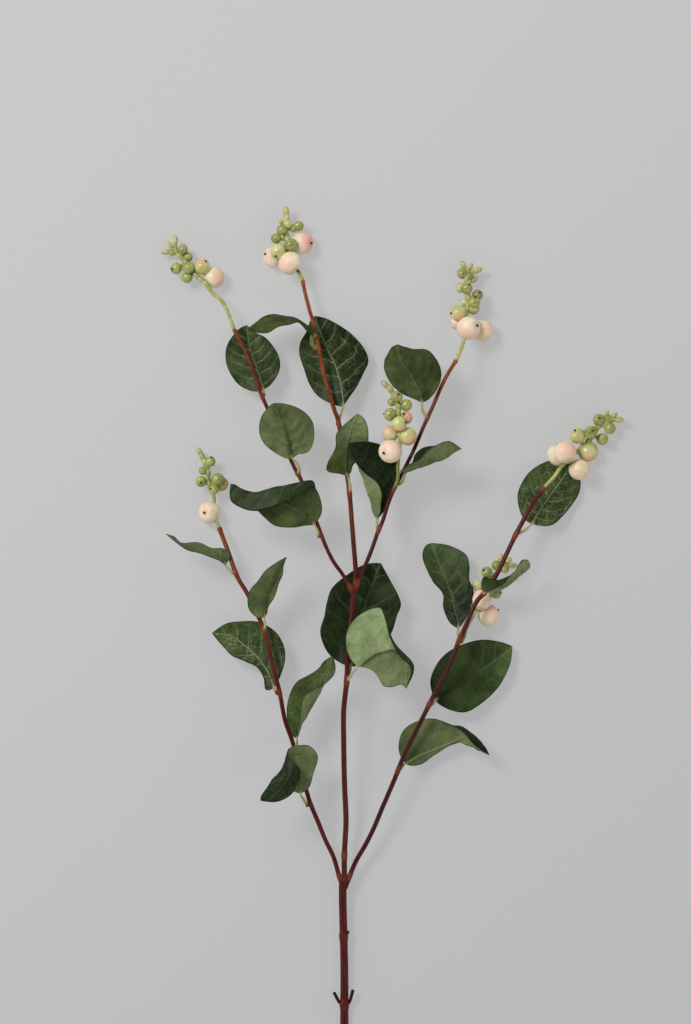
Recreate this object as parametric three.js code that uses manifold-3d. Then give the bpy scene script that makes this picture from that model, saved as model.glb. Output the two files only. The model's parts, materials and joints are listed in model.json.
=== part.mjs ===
// A snowberry stem: red-brown twigs, folded green leaves and clusters of cream and green berries.
// Millimetres, +Z up. The stem lies on a table at z = 0, cut end at y = 0, and is looked down on.
// It rests on the flattened underside of its cut end and of the lowest berry of six clusters.
import * as THREE from 'three';
import { mergeVertices } from 'three/addons/utils/BufferGeometryUtils.js';
import Module from 'manifold-3d';

const wasm = await Module();
wasm.setup();

// Driving dimensions
const SEAT_GAP = 0.3; // left between a piece and the piece it is plugged into
const LEAF_THICKNESS = 0.7;
const REST_SINK = 0.3; // how much of a lying berry is flattened by the table
const STEM_RADIUS = 2.6; // at the cut end
const STEM_REST_HEIGHT = 2.35; // height of its centre line there, so that its underside is flat
const FORK_RADIUS = 2.4; // where the three branches leave the main stem
const STUB_RADII = [0.75, 0.75, 0.6]; // trimmed twigs near the cut end
const STALK_RADII = [1.15, 1, 1.35, 1.35, 1.1]; // green stalk of a cluster, from the twig to its tip
const PEDICEL_RADIUS = 0.7; // short stalk of a berry that stands off the cluster's stalk
const PEDICEL_REACH = 0.6; // a berry nearer to the stalk than this has none
const PETIOLE_RADII = [0.7, 1, 0.75, 0.65, 0.5]; // from the twig into the blade
const BUD_STRETCH = 1.35; // length of a bud against its mean size
const BUD_WAIST = 0.85; // and its width

// Faces
const STEM_SIDES = 8; // the thick stem
const TWIG_SIDES = 7;
const STALK_SIDES = 5;
const THIN_SIDES = 5; // petioles
const PEDICEL_SIDES = 4;
const TUBE_STEP = 14; // length of one stretch of a twig
const STALK_STEP = 8;
const PETIOLE_STEP = 4;
const STALK_PLACES = 40; // points of a stalk that berries may grow from
const SMALL_BERRY = 4; // radius under which a berry has fewer faces
const SMALL_FACES = { round: 6, along: 4, grown: 1.1 }; // grown to make up for the flats between
const LARGE_FACES = { round: 9, along: 6, grown: 1.04 };
const CELLS_PER_COLUMN = 2; // strips between two columns of a leaf's points
const ROW_TENSION = 0.5; // of the curve through a row of a leaf's points
const MERGE_DISTANCE = 1e-4;
const TABLE_SIZE = 2000;

const BARK = { color: 0x5e2c22, roughness: 0.5, metalness: 0 };
const LEAF_GREEN = { color: 0x3c5438, roughness: 0.65, metalness: 0 };
const BERRY_CREAM = { color: 0xe3cfb0, roughness: 0.3, metalness: 0 };

const UP = new THREE.Vector3(0, 0, 1);

/** Height of the centre of a berry that lies on the table. */
function lying(radius) {
  return radius - REST_SINK;
}

// Twigs: points of the centre line, radius along it, and the twigs they are plugged into.
const STEMS = {
  main_stem: {
    sides: STEM_SIDES,
    radii: [STEM_RADIUS, STEM_RADIUS, STEM_RADIUS, 2.3, 2.2, 2.15, 2.2, FORK_RADIUS],
    hosts: [],
    path: [
      [0.5, 0, STEM_REST_HEIGHT], [0.5, 34.5, STEM_REST_HEIGHT], [0.5, 73.5, STEM_REST_HEIGHT],
      [0.5, 110, 3], [0.5, 141, 4.5], [0, 164.5, 6], [-0.5, 187.5, 7.5], [0, 199, 8],
    ],
  },
  branch_centre: {
    radii: [1.7, 1.6, 1.6, 1.5, 1.35, 1.35],
    hosts: ['main_stem'],
    path: [
      [0.5, 198, 8], [0.5, 211, 9.5], [1, 220.5, 11], [1.5, 234, 13],
      [0.5, 257.5, 17], [0, 292.5, 21.5], [0.5, 303, 23], [2, 316.5, 24],
      [2.5, 331.5, 25], [4, 346, 26], [6, 367, 26], [7.5, 376.5, 26],
      [7, 386.5, 25.5], [6, 398.5, 25], [5, 411, 24], [3, 433, 22],
      [-2.5, 468.5, 18], [-5.5, 478.5, 17.5], [-9, 490, 17], [-12, 501.5, 16.5],
      [-15, 516.5, 16], [-17, 527, 15.5], [-20, 537, 15], [-23, 548.5, 14],
      [-24.5, 556, 13.5],
    ],
  },
  branch_left: {
    radii: [1.35, 1.35, 1.3, 1.3, 1.4],
    hosts: ['main_stem', 'branch_centre'],
    path: [
      [0, 191, 7.5], [-2.5, 198, 8], [-6, 210, 9], [-11, 220.5, 10.5], [-15, 230.5, 12],
      [-19, 240, 13.5], [-21.5, 247.5, 14.5], [-30.5, 279, 18], [-35, 292, 19.5],
      [-38.5, 310, 21], [-42.5, 325.5, 21.5], [-47, 344, 21], [-51, 354.5, 20],
      [-57, 367, 18.5], [-64, 379, 16.5], [-68.5, 391.5, 14], [-72.5, 402, 12],
      [-74.5, 407.5, 11],
    ],
  },
  branch_right: {
    radii: [1.5, 1.5, 1.45, 1.4, 1.4],
    hosts: ['main_stem', 'branch_centre'],
    path: [
      [1, 191, 7.5], [3.5, 198, 8], [7.5, 207.5, 9], [13.5, 218, 10.5], [18, 227, 12],
      [23, 239, 14], [27.5, 249.5, 15.5], [32.5, 261.5, 17], [36, 270.5, 18],
      [41.5, 282, 19.5], [48, 295, 21], [54.5, 308, 22], [60, 318.5, 22.5],
      [65, 329, 23], [69, 339.5, 23], [73, 348.5, 23], [79.5, 363, 22.5],
      [86, 370.5, 22], [92.5, 381, 21], [97.5, 391.5, 20], [103, 403, 19],
      [108, 412.5, 18], [113.5, 422.5, 16.5], [120.5, 432, 15],
    ],
  },
  shoot_upper_left: {
    radii: [1.3, 1.3, 1.25, 1.3],
    hosts: ['branch_centre'],
    path: [
      [6, 367, 26], [4, 372.5, 27], [-1, 380.5, 28], [-6, 387.5, 28.5],
      [-10.5, 396.5, 28.5], [-15.5, 409.5, 28], [-25, 435.5, 26], [-30, 445, 25],
      [-47.5, 483.5, 20], [-51, 492.5, 19.5], [-54.5, 503, 19], [-58.5, 513, 18.5],
      [-62.5, 521, 18], [-65.5, 526.5, 17.5],
    ],
  },
  shoot_upper_right: {
    radii: [1.35, 1.35, 1.35, 1.4],
    hosts: ['branch_centre', 'shoot_upper_left'],
    path: [
      [6.5, 367, 26], [8.5, 374, 27], [11, 380.5, 28], [14, 387.5, 29],
      [17, 395, 29.5], [20.5, 405, 30], [23.5, 412, 30], [27, 423, 30],
      [30.5, 431.5, 30], [34.5, 439, 29.5], [39.5, 449, 29], [43, 456.5, 28.5],
      [48, 468.5, 27.5], [53.5, 480.5, 26], [58, 491, 24.5], [62.5, 500, 23],
      [67.5, 508, 21.5],
    ],
  },
};

// Trimmed twigs and a bud on the main stem, from its centre line outwards.
const STUBS = [
  [[0.5, 121, 3.5], [3.5, 122.5, 4], [5.7, 130, 6]],
  [[0.5, 121, 3.5], [-2.5, 122.5, 3.5], [-5.7, 128.5, 4.5]],
  [[0, 162, 6], [2, 163.5, 6.5], [2.7, 165.5, 7]],
];

// Clusters: the green stalk from the twig's end or side, and the fruit as
// [kind, x, y, z, radius], where a bud is longer than it is wide.
const CLUSTERS = {
  berries_upper_left: {
    stem: 'shoot_upper_left',
    stalk: [
      [-65.5, 526.5, 17.5], [-68, 533.5, 16.5], [-72.5, 543, 14.5], [-78.5, 548.5, 12.5],
      [-83, 554.5, 10.5], [-88, 559, 9], [-94.5, 567, 7.5], [-98.5, 571.5, 7],
      [-103, 576, 7],
    ],
    fruit: [
      ['ripe', -78, 558, lying(6.5), 6.5], ['half', -85, 564.5, 10, 4.8], ['green', -93, 564, 11, 3.4],
      ['green', -100.5, 563.5, 8, 3.2], ['green', -94, 558, 8.5, 3.1], ['green', -93.5, 570.5, 7, 2.7],
      ['green', -96.5, 575, 9.5, 2.8], ['green', -103, 573, 7, 1.9], ['green', -100, 573.5, 6.5, 2.0],
      ['bud', -107, 573.5, 6.5, 2.0], ['bud', -104.5, 577.5, 8, 1.9], ['bud', -101, 580.5, 8, 2.0],
    ],
  },
  berries_upper_middle: {
    stem: 'branch_centre',
    stalk: [
      [-24.5, 556, 13.5], [-27, 561.5, 12.5], [-31, 569.5, 10], [-33.5, 577.5, 9.5],
      [-35, 585, 8.5], [-34, 592.5, 8], [-34.5, 597, 8],
    ],
    fruit: [
      ['ripe', -25, 578.5, 6.5, 6.9], ['ripe', -32, 566.5, 14.5, 7.1], ['ripe', -42, 570.5, lying(6.3), 6.3],
      ['half', -39, 573.5, 13, 4.9], ['green', -31.5, 577.5, 13.5, 3.7], ['green', -40.5, 581.5, 9, 2.9],
      ['green', -37, 586.5, 10, 3.0], ['green', -33.5, 590, 10, 2.4], ['green', -27, 589, 8.5, 2.9],
      ['green', -30, 587.5, 8, 2.2], ['bud', -34.5, 598, 8, 2.2], ['bud', -37.5, 591.5, 8.5, 1.7],
    ],
  },
  berries_upper_right: {
    stem: 'shoot_upper_right',
    stalk: [
      [67.5, 508, 21.5], [69, 511.5, 20.5], [72, 519.5, 17.5], [73.5, 529.5, 13.5],
      [74, 537, 11.5], [75, 544.5, 10], [74, 551.5, 9], [74.5, 559.5, 8.5],
      [74.5, 563.5, 8],
    ],
    fruit: [
      ['ripe', 75, 527.5, 15.5, 7.1], ['ripe', 83.5, 526, lying(6.7), 6.7], ['half', 67, 531.5, 8, 4.2],
      ['half', 69, 536.5, 12, 4.9], ['green', 78, 539.5, 9, 3.5], ['green', 78.5, 543, 11.5, 3.3],
      ['green', 80.5, 547.5, 8.5, 3.0], ['green', 74, 551.5, 11, 3.2], ['green', 70.5, 552, 8, 2.9],
      ['green', 71.5, 560.5, 8, 3.1], ['green', 75.5, 559, 8.5, 2.3], ['green', 73, 543, 8, 2.3],
      ['bud', 72, 565.5, 7.5, 1.9], ['bud', 76, 564.5, 9, 1.6], ['bud', 80.5, 562.5, 8, 2.2],
      ['bud', 78.5, 557, 7, 2.2],
    ],
  },
  berries_upper_right_side: {
    stem: 'shoot_upper_right',
    stalk: [
      [30.5, 431.5, 30], [32.5, 437.5, 32], [32.5, 445, 33.5], [33.5, 454.5, 35],
      [34, 463, 36], [33, 472.5, 36], [32.5, 481.5, 35], [29, 489, 34],
      [26, 493, 33.5],
    ],
    fruit: [
      ['ripe', 28, 453.5, 36.5, 7.0], ['half', 28, 464, 33, 4.9], ['half', 38.5, 462.5, 35, 5.5],
      ['half', 33.5, 470, 39, 4.6], ['half', 37.5, 473.5, 35, 3.5], ['green', 28, 475.5, 35.5, 4.0],
      ['green', 37.5, 481, 35, 3.3], ['green', 32, 486, 37, 3.2], ['green', 29, 483, 34, 2.4],
      ['bud', 25, 493.5, 33.5, 2.2], ['bud', 28.5, 489.5, 34, 1.8],
    ],
  },
  berries_right: {
    stem: 'branch_right',
    stalk: [
      [120.5, 432, 15], [126, 438, 14.5], [130.5, 444, 14], [136, 449.5, 12.5],
      [142, 455, 11], [146.5, 458.5, 10], [152, 467, 9], [157, 471.5, 8.5],
      [163.5, 473, 8],
    ],
    fruit: [
      ['ripe', 128, 452, 10.5, 5.9], ['ripe', 133, 453, 14, 6.8], ['ripe', 141.5, 442, 10.5, 6.3],
      ['half', 147, 453.5, lying(6.2), 6.2], ['half', 140.5, 463, 10, 4.9], ['green', 148.5, 465, 11.5, 3.7],
      ['green', 155.5, 461, 7.5, 3.3], ['green', 159.5, 467.5, 7.5, 3.3], ['green', 153.5, 472.5, 9, 3.4],
      ['green', 159, 473.5, 8, 2.0], ['bud', 158, 476, 9, 1.5], ['bud', 162.5, 475, 8.5, 1.7],
      ['bud', 165.5, 472.5, 8, 2.0],
    ],
  },
  berries_right_side: {
    stem: 'branch_right',
    stalk: [
      [73, 348, 23], [75.5, 347.5, 20.5], [79.5, 355, 16], [83, 362.5, 12],
      [86, 369, 10.5], [92, 380, 10], [96.5, 388, 9.5],
    ],
    fruit: [
      ['ripe', 83.5, 364, 10, 6.5], ['ripe', 87.5, 355, lying(6.7), 6.7], ['green', 80.5, 373, 9, 3.0],
      ['green', 86, 381, 11, 3.2], ['green', 91.5, 368.5, 12, 3.1], ['green', 92, 385, 8, 2.8],
      ['green', 97, 383, 9, 2.4], ['bud', 99, 388, 8.5, 1.9], ['bud', 102, 385, 9, 2.0],
      ['bud', 94.5, 389.5, 9, 2.1],
    ],
  },
  berries_left: {
    stem: 'branch_left',
    stalk: [
      [-74.5, 407.5, 11], [-76, 411, 10.5], [-77.5, 421.5, 9.5], [-78, 426.5, 9],
      [-81, 435.5, 8], [-82, 443.5, 7.5], [-84.5, 449.5, 7], [-86, 452.5, 6.5],
    ],
    fruit: [
      ['ripe', -80.5, 417, lying(6.7), 6.7], ['green', -75.5, 436.5, 10, 3.8], ['half', -73, 433.5, 7, 3.1],
      ['green', -77.5, 431, 11, 2.8], ['green', -85.5, 435.5, 9, 3.1], ['green', -84.5, 442, 8, 2.3],
      ['green', -80, 447.5, 8.5, 2.9], ['bud', -83, 446.5, 8, 1.9], ['bud', -86.5, 453.5, 6.5, 1.8],
    ],
  },
};

// Leaves. The petiole runs from the centre line of the twig to the blade. A blade is rows of
// points from its base to its tip, each from the left margin past the rib to the right margin
// as the upper face shows them. A folded blade has a point more on each side of its rib.
const LEAVES = {
  leaf_left_1: {
    stem: 'branch_left',
    petiole: [[-21.5, 241, 13.5], [-24, 245, 18], [-26, 248.5, 22]],
    rows: [
      [-26, 248.5, 24],
      [-21, 251.5, 25,  -25.5, 253.5, 25,  -31, 250.5, 24.5],
      [-18, 260.5, 26.5,  -26, 260.5, 26,  -34, 255, 25],
      [-15.5, 271.5, 28,  -28, 266.5, 27,  -36.5, 259.5, 26],
      [-23, 277, 29.5,  -32.5, 269.5, 28.5,  -37, 261, 27.5],
      [-33, 275.5, 32,  -35.5, 268, 32,  -37.5, 261.5, 31],
      [-32, 269, 36,  -35, 265, 36,  -39.5, 260.5, 34.5],
      [-26, 263.5, 38.5,  -34, 260, 38,  -42.5, 257.5, 37],
      [-27.5, 255, 39,  -37, 253.5, 38.5,  -45.5, 253, 38],
      [-31.5, 248, 38.5,  -41, 249.5, 37.5,  -48, 249.5, 37],
      [-39.5, 244, 37.5,  -44.5, 246, 37,  -49.5, 247, 36.5],
      [-49.5, 244.5, 36],
    ],
  },
  leaf_left_2: {
    stem: 'branch_left',
    petiole: [[-29.5, 274.5, 18], [-28, 277.5, 20], [-28, 281.5, 22]],
    rows: [
      [-28, 281.5, 22.5],
      [-31, 283.5, 23,  -29.5, 285, 23,  -27, 285.5, 23.5,  -27, 286, 25.5,  -27.5, 286.5, 27],
      [-33.5, 291, 23.5,  -30, 292, 23.5,  -25, 290.5, 24.5,  -25, 291, 27.5,  -26.5, 292, 30],
      [-34, 299.5, 24,  -29.5, 299, 24,  -21, 297.5, 25.5,  -21.5, 298, 29,  -25.5, 300, 32],
      [-32, 308.5, 25,  -26.5, 306, 25,  -17, 304.5, 26.5,  -18, 305.5, 30,  -23.5, 307, 33],
      [-28, 315.5, 26,  -22, 312, 26,  -13.5, 311, 27.5,  -14, 311.5, 30.5,  -18, 311, 32.5],
      [-21, 319.5, 27,  -16, 317, 27,  -10.5, 317.5, 28.5,  -9.5, 316.5, 30,  -9.5, 315.5, 31],
      [-15, 323.5, 27.5,  -12, 322.5, 28,  -8.5, 324, 29,  -6.5, 322.5, 29,  -5, 321.5, 29.5],
      [-11.5, 328, 28,  -10, 328, 28,  -7.5, 328, 28.5,  -6.5, 328, 28.5,  -5.5, 328, 29],
      [-7, 331, 28],
    ],
  },
  leaf_left_3: {
    stem: 'branch_left',
    petiole: [[-39.5, 308.5, 21], [-41, 310, 19], [-41.5, 311.5, 17.5]],
    rows: [
      [-41.5, 311.5, 17],
      [-46.5, 310.5, 16,  -43.5, 316.5, 15.5,  -38.5, 317, 16.5],
      [-48, 317.5, 14.5,  -46, 322, 13.5,  -35.5, 326, 15],
      [-52, 324, 13,  -50, 328, 12,  -35.5, 335.5, 14],
      [-59, 327.5, 12,  -54.5, 333, 10.5,  -40, 344.5, 13],
      [-66.5, 330.5, 11,  -60.5, 338, 9.5,  -50.5, 351, 11.5],
      [-71.5, 335.5, 9.5,  -67, 342.5, 8.5,  -62.5, 351.5, 10],
      [-76, 340.5, 8,  -73.5, 344, 8,  -71, 350, 9],
      [-79, 344.5, 7.5],
    ],
  },
  leaf_left_4: {
    stem: 'branch_left',
    petiole: [[-48, 346, 21], [-47, 349, 22], [-47.5, 354, 23.5]],
    rows: [
      [-47.5, 354, 23.5],
      [-46, 356.5, 23.5,  -47, 357, 24.5,  -51.5, 354, 24],
      [-45, 361.5, 23,  -45.5, 361.5, 26,  -56.5, 358.5, 24],
      [-42.5, 365, 22.5,  -44.5, 365.5, 27.5,  -57.5, 365, 25],
      [-40, 368.5, 23,  -43.5, 370, 29,  -56, 370.5, 26.5],
      [-38.5, 374, 25,  -42, 374.5, 30.5,  -51.5, 375.5, 28],
      [-36.5, 379.5, 28,  -40, 379.5, 31.5,  -47, 382, 29.5],
      [-35.5, 385, 30.5,  -37.5, 385, 32,  -41, 386.5, 31],
      [-34, 390.5, 32.5],
    ],
  },
  leaf_left_5: {
    stem: 'branch_left',
    petiole: [[-65, 380.5, 16], [-67.5, 381.5, 17], [-71, 385.5, 17]],
    rows: [
      [-71, 385.5, 17],
      [-67.5, 391, 17.5,  -71.5, 388, 19,  -72.5, 386.5, 18.5],
      [-71.5, 394.5, 17,  -75, 390.5, 21.5,  -75.5, 388.5, 22],
      [-79, 396, 16,  -80.5, 393.5, 23.5,  -82, 391, 25],
      [-86, 398.5, 15.5,  -86.5, 395, 24,  -87.5, 392.5, 26],
      [-92.5, 398.5, 16,  -92.5, 396, 24,  -92.5, 394.5, 26],
      [-97.5, 399, 18,  -97.5, 398, 23.5,  -98, 397, 25],
      [-101.5, 402, 20,  -102, 401.5, 22.5,  -102.5, 400.5, 23],
      [-106.5, 404, 20.5],
    ],
  },
  leaf_centre_1: {
    stem: 'branch_centre',
    petiole: [[2, 317, 24], [3.5, 320.5, 22], [4.5, 324.5, 20]],
    rows: [
      [4.5, 324.5, 20],
      [-1.5, 326.5, 19,  6, 332.5, 18.5,  13.5, 326.5, 17.5],
      [-9.5, 333, 18,  7.5, 340.5, 16.5,  22.5, 335.5, 15.5],
      [-14, 345, 17.5,  9.5, 348.5, 15,  29, 345, 14],
      [-11.5, 355, 16,  11.5, 356, 14,  32, 354.5, 13.5],
      [-10, 363, 15,  13.5, 363, 13.5,  34.5, 361.5, 13.5],
      [-7, 371.5, 14,  16, 369.5, 13,  32.5, 368, 13],
      [1.5, 379, 13,  18.5, 376.5, 12.5,  29, 374.5, 12.5],
      [13.5, 386, 12,  20.5, 383.5, 12,  25.5, 381, 12],
      [22.5, 386.5, 11.5],
    ],
  },
  leaf_centre_2: {
    stem: 'branch_centre',
    petiole: [[2, 315.5, 24], [4.5, 319.5, 27], [8.5, 324.5, 29.5]],
    rows: [
      [8.5, 324.5, 29.5],
      [13.5, 324, 30,  12, 325, 30,  11, 326.5, 30,  8.5, 327, 30,  5, 328, 30],
      [18, 321.5, 30,  16.5, 326.5, 31,  15.5, 330, 31.5,  8.5, 334.5, 31,  1.5, 337.5, 30.5],
      [21, 318, 30.5,  20.5, 326.5, 32,  19.5, 332.5, 33,  11.5, 341, 32,  3, 348, 31],
      [24, 313.5, 31,  24.5, 325.5, 33,  24, 334, 34.5,  17, 345, 33.5,  10.5, 356, 32],
      [27.5, 312.5, 32,  29, 326, 34,  28.5, 335.5, 36,  24, 347.5, 35,  21, 359, 33.5],
      [31, 313, 32,  32, 323.5, 34,  31.5, 331, 35.5,  28.5, 340.5, 37,  26.5, 347.5, 36],
      [34, 314, 32,  34, 320, 33.5,  34, 325, 34.5,  34.5, 330, 36.5,  34.5, 334, 38],
      [35.5, 313.5, 32.5,  35.5, 316, 33,  36, 318.5, 33.5,  39, 322.5, 34.5,  41.5, 325.5, 36],
      [37.5, 311.5, 32],
    ],
  },
  leaf_upper_left_1: {
    stem: 'shoot_upper_left',
    petiole: [[-14.5, 402, 28.5], [-15.5, 406, 30], [-17.5, 409.5, 30.5]],
    rows: [
      [-17.5, 409.5, 30.5],
      [-13, 417, 31,  -17.5, 415, 31,  -21, 413, 31,  -20.5, 411.5, 31,  -22.5, 409, 30.5],
      [-15, 428.5, 34,  -19.5, 424.5, 33,  -24.5, 416, 32,  -26, 412, 31.5,  -28.5, 408, 31],
      [-21, 432, 38.5,  -23, 435, 35.5,  -29.5, 419.5, 33,  -32, 413.5, 32,  -35.5, 408, 31],
      [-28, 426.5, 40.5,  -31.5, 434, 36.5,  -34.5, 422.5, 33,  -37.5, 416, 32,  -42, 409.5, 31],
      [-38.5, 421.5, 41,  -41, 432, 37,  -43, 424, 33,  -45, 419, 32,  -48, 414.5, 31.5],
      [-50, 418, 40,  -51.5, 429, 37,  -51.5, 424.5, 33.5,  -52, 422.5, 32.5,  -53.5, 420, 32],
      [-59.5, 419, 38,  -59.5, 430.5, 36.5,  -59, 425.5, 34,  -59, 424.5, 33.5,  -59, 423, 33],
      [-67, 423, 36,  -64, 432.5, 35.5,  -64.5, 427.5, 34.5,  -64.5, 427, 34.5,  -64.5, 427, 34],
      [-68, 431, 35],
    ],
  },
  leaf_upper_left_2: {
    stem: 'shoot_upper_left',
    petiole: [[-27.5, 439, 25.5], [-26.5, 442, 27], [-28, 446.5, 27.5], [-30.5, 449, 28]],
    rows: [
      [-30.5, 449, 28],
      [-27.5, 451.5, 28,  -31.5, 452.5, 28.5,  -35, 449.5, 28.5],
      [-21.5, 453, 28.5,  -32.5, 457.5, 29,  -43, 454, 29.5],
      [-18.5, 457.5, 28.5,  -34, 463, 29.5,  -48.5, 459.5, 30],
      [-17.5, 465, 28,  -35.5, 467.5, 29,  -50.5, 466, 30],
      [-19, 472.5, 27,  -37, 471.5, 28,  -49.5, 473.5, 28.5],
      [-24.5, 478, 26,  -38.5, 475.5, 27,  -46, 479, 27],
      [-34.5, 482, 25.5,  -39.5, 479.5, 26,  -42.5, 482, 26],
      [-40, 482.5, 25.5],
    ],
  },
  leaf_upper_left_3: {
    stem: 'shoot_upper_left',
    petiole: [[-48.5, 486.5, 20], [-47.5, 488, 18], [-48, 490.5, 16]],
    rows: [
      [-48, 490.5, 15.5],
      [-53, 489.5, 14,  -49, 494, 14,  -44.5, 493, 14],
      [-62, 493, 11.5,  -50.5, 499, 11.5,  -40, 498.5, 12],
      [-67.5, 499.5, 10.5,  -52.5, 505, 10,  -38, 505, 10.5],
      [-70.5, 507, 9.5,  -54.5, 510.5, 8.5,  -39, 511, 9],
      [-70.5, 515.5, 8,  -56.5, 516.5, 7,  -42.5, 517, 8],
      [-67, 522.5, 6.5,  -57.5, 523, 6,  -47.5, 522.5, 7],
      [-62.5, 527.5, 5.5,  -58, 527, 5,  -53.5, 525.5, 6],
      [-58, 529.5, 5],
    ],
  },
  leaf_upper_middle_1: {
    stem: 'branch_centre',
    petiole: [[3.5, 428, 22.5], [4, 433, 24], [2.5, 438.5, 25]],
    rows: [
      [2.5, 438.5, 25],
      [4.5, 441, 25,  2, 441, 25.5,  -2, 440, 25.5],
      [6, 445.5, 25,  1.5, 446, 25.5,  -9.5, 441.5, 27],
      [10.5, 449.5, 25,  2, 451.5, 25.5,  -9.5, 446.5, 27.5],
      [14.5, 455, 25,  2.5, 457.5, 25.5,  -5, 455.5, 26.5],
      [15, 461.5, 25.5,  4, 464, 25.5,  -4.5, 463, 26.5],
      [14.5, 468, 26.5,  5.5, 469, 26,  -2, 467.5, 27],
      [12, 473.5, 27.5,  7.5, 473.5, 27,  4, 472.5, 27.5],
      [8.5, 476, 28],
    ],
  },
  leaf_upper_middle_2: {
    stem: 'branch_centre',
    petiole: [[-3.5, 469.5, 18], [-2.5, 473, 16.5], [-1, 478, 15], [0, 480.5, 14]],
    rows: [
      [0, 480.5, 14],
      [-5.5, 481.5, 12.5,  -0.5, 485.5, 13,  3.5, 486, 12.5],
      [-15, 486.5, 10,  -1.5, 492.5, 11,  8, 492.5, 10.5],
      [-20.5, 494, 8.5,  -3.5, 500.5, 9.5,  12, 500.5, 9],
      [-23.5, 502.5, 7.5,  -6, 508, 8.5,  15, 508, 8],
      [-26.5, 512, 7,  -9.5, 514.5, 8,  12, 516, 8],
      [-26, 519, 7,  -12, 521, 7.5,  5, 524, 8.5],
      [-22, 526, 7,  -15, 528, 7.5,  -4.5, 530.5, 8.5],
      [-20, 532, 7.5,  -16.5, 532.5, 7.5,  -12, 534, 8],
      [-17.5, 535, 7.5],
    ],
  },
  leaf_upper_middle_3: {
    stem: 'branch_centre',
    petiole: [[-16, 514.5, 16], [-18.5, 518.5, 17.5], [-17, 522, 18.5]],
    rows: [
      [-17, 522, 18.5],
      [-14.5, 526, 18,  -18, 525, 19.5,  -19, 523, 20],
      [-20.5, 529, 18,  -22, 528, 22.5,  -22.5, 526, 24],
      [-28, 533, 18.5,  -27.5, 531.5, 26,  -27.5, 531, 29],
      [-34, 534.5, 19,  -34, 532, 28,  -33.5, 529.5, 31],
      [-40.5, 536, 20,  -41, 532, 29,  -39.5, 527.5, 32],
      [-47, 534.5, 20.5,  -47.5, 529.5, 28,  -45.5, 524.5, 31],
      [-52, 531.5, 22,  -53, 527.5, 26,  -51.5, 524.5, 27],
      [-57, 527, 23],
    ],
  },
  leaf_upper_right_1: {
    stem: 'shoot_upper_right',
    petiole: [[21, 406.5, 30], [20, 410, 28.5], [20.5, 413, 26]],
    rows: [
      [20.5, 413, 25],
      [22, 416.5, 27.5,  20, 416.5, 27,  18.5, 416.5, 25.5,  21, 417, 24.5,  24.5, 418, 24],
      [22.5, 422.5, 29,  19.5, 423, 28.5,  17, 423, 26,  21.5, 424.5, 24.5,  28, 425, 23.5],
      [23, 428.5, 30.5,  18, 429.5, 30,  14.5, 429.5, 27,  20.5, 431, 25,  31, 431.5, 23.5],
      [20, 435, 31.5,  15.5, 436, 31,  12.5, 436, 28.5,  19.5, 438, 25.5,  32.5, 439.5, 24],
      [12.5, 440.5, 32,  11, 441.5, 31.5,  10.5, 442, 29.5,  19, 445, 27,  32.5, 446.5, 25],
      [7, 447.5, 31.5,  7.5, 448, 31,  8.5, 448, 30,  16.5, 451.5, 28,  28, 454.5, 26.5],
      [4, 452, 30.5,  5, 453, 31,  6.5, 453.5, 30.5,  11, 456, 30,  17, 459, 28.5],
      [3, 458.5, 30.5],
    ],
  },
  leaf_upper_right_2: {
    stem: 'shoot_upper_right',
    petiole: [[33.5, 437, 29.5], [36, 436, 31], [37.5, 439, 32.5], [37.5, 441, 33]],
    rows: [
      [37.5, 441, 33],
      [40.5, 445, 32.5,  38.5, 441.5, 34,  34, 441.5, 36],
      [41.5, 448, 31,  42, 443, 35,  38.5, 445, 38],
      [43, 451.5, 30,  47, 444.5, 36,  44.5, 448, 40],
      [48, 456, 29.5,  54, 447.5, 36.5,  49.5, 453, 41],
      [54.5, 456.5, 30,  60.5, 449.5, 36.5,  56, 457.5, 40],
      [62.5, 457, 32,  66.5, 453.5, 36,  63.5, 459.5, 38.5],
      [70.5, 455, 36],
    ],
  },
  leaf_upper_right_3: {
    stem: 'shoot_upper_right',
    petiole: [[51, 473, 27], [47.5, 477.5, 28], [47, 482.5, 28]],
    rows: [
      [47, 482.5, 28],
      [50, 484, 28,  46.5, 486, 28.5,  43, 484.5, 28.5],
      [54.5, 488.5, 28,  44.5, 491, 29.5,  35, 488, 29.5],
      [58, 495, 27.5,  42, 496, 30,  28, 494.5, 30],
      [58.5, 501, 27.5,  40, 500, 30,  24.5, 502, 30],
      [56.5, 507, 27.5,  37.5, 503, 29.5,  24.5, 508, 29.5],
      [52, 513, 27,  35, 506.5, 29,  27, 512.5, 28.5],
      [43, 516, 26.5,  33.5, 511.5, 27.5,  29, 515.5, 27.5],
      [32, 517.5, 26.5],
    ],
  },
  leaf_right_1: {
    stem: 'branch_right',
    petiole: [[33, 262.5, 17], [35, 264, 16], [37, 266.5, 14.5]],
    rows: [
      [37, 266.5, 14.5],
      [39.5, 265, 13,  40, 267, 13,  40.5, 268.5, 13.5,  37.5, 270, 14,  34, 271, 14],
      [44.5, 265, 10.5,  45, 268, 11,  45, 271, 12,  39.5, 274.5, 13,  33, 277.5, 14],
      [49, 267.5, 8.5,  51, 270.5, 9.5,  52.5, 274, 11,  44, 280.5, 12,  35.5, 285.5, 14],
      [56.5, 272, 8,  58.5, 274.5, 10,  60, 277, 11.5,  52, 285, 12,  44, 291.5, 13],
      [64.5, 277, 10,  65.5, 278.5, 11.5,  67, 280, 13,  61.5, 286, 12.5,  55.5, 293, 12.5],
      [70, 279, 12,  71, 280.5, 13.5,  72, 282, 15,  69.5, 288.5, 15.5,  69, 287, 18.5],
      [74, 277, 15,  75, 278, 15.5,  76, 279.5, 16.5,  76.5, 284.5, 17.5,  74.5, 282, 20],
      [79, 275.5, 16,  79.5, 275.5, 16,  80, 276, 16.5,  82, 279.5, 18,  78.5, 277.5, 20],
      [87.5, 271.5, 17],
    ],
  },
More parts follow.
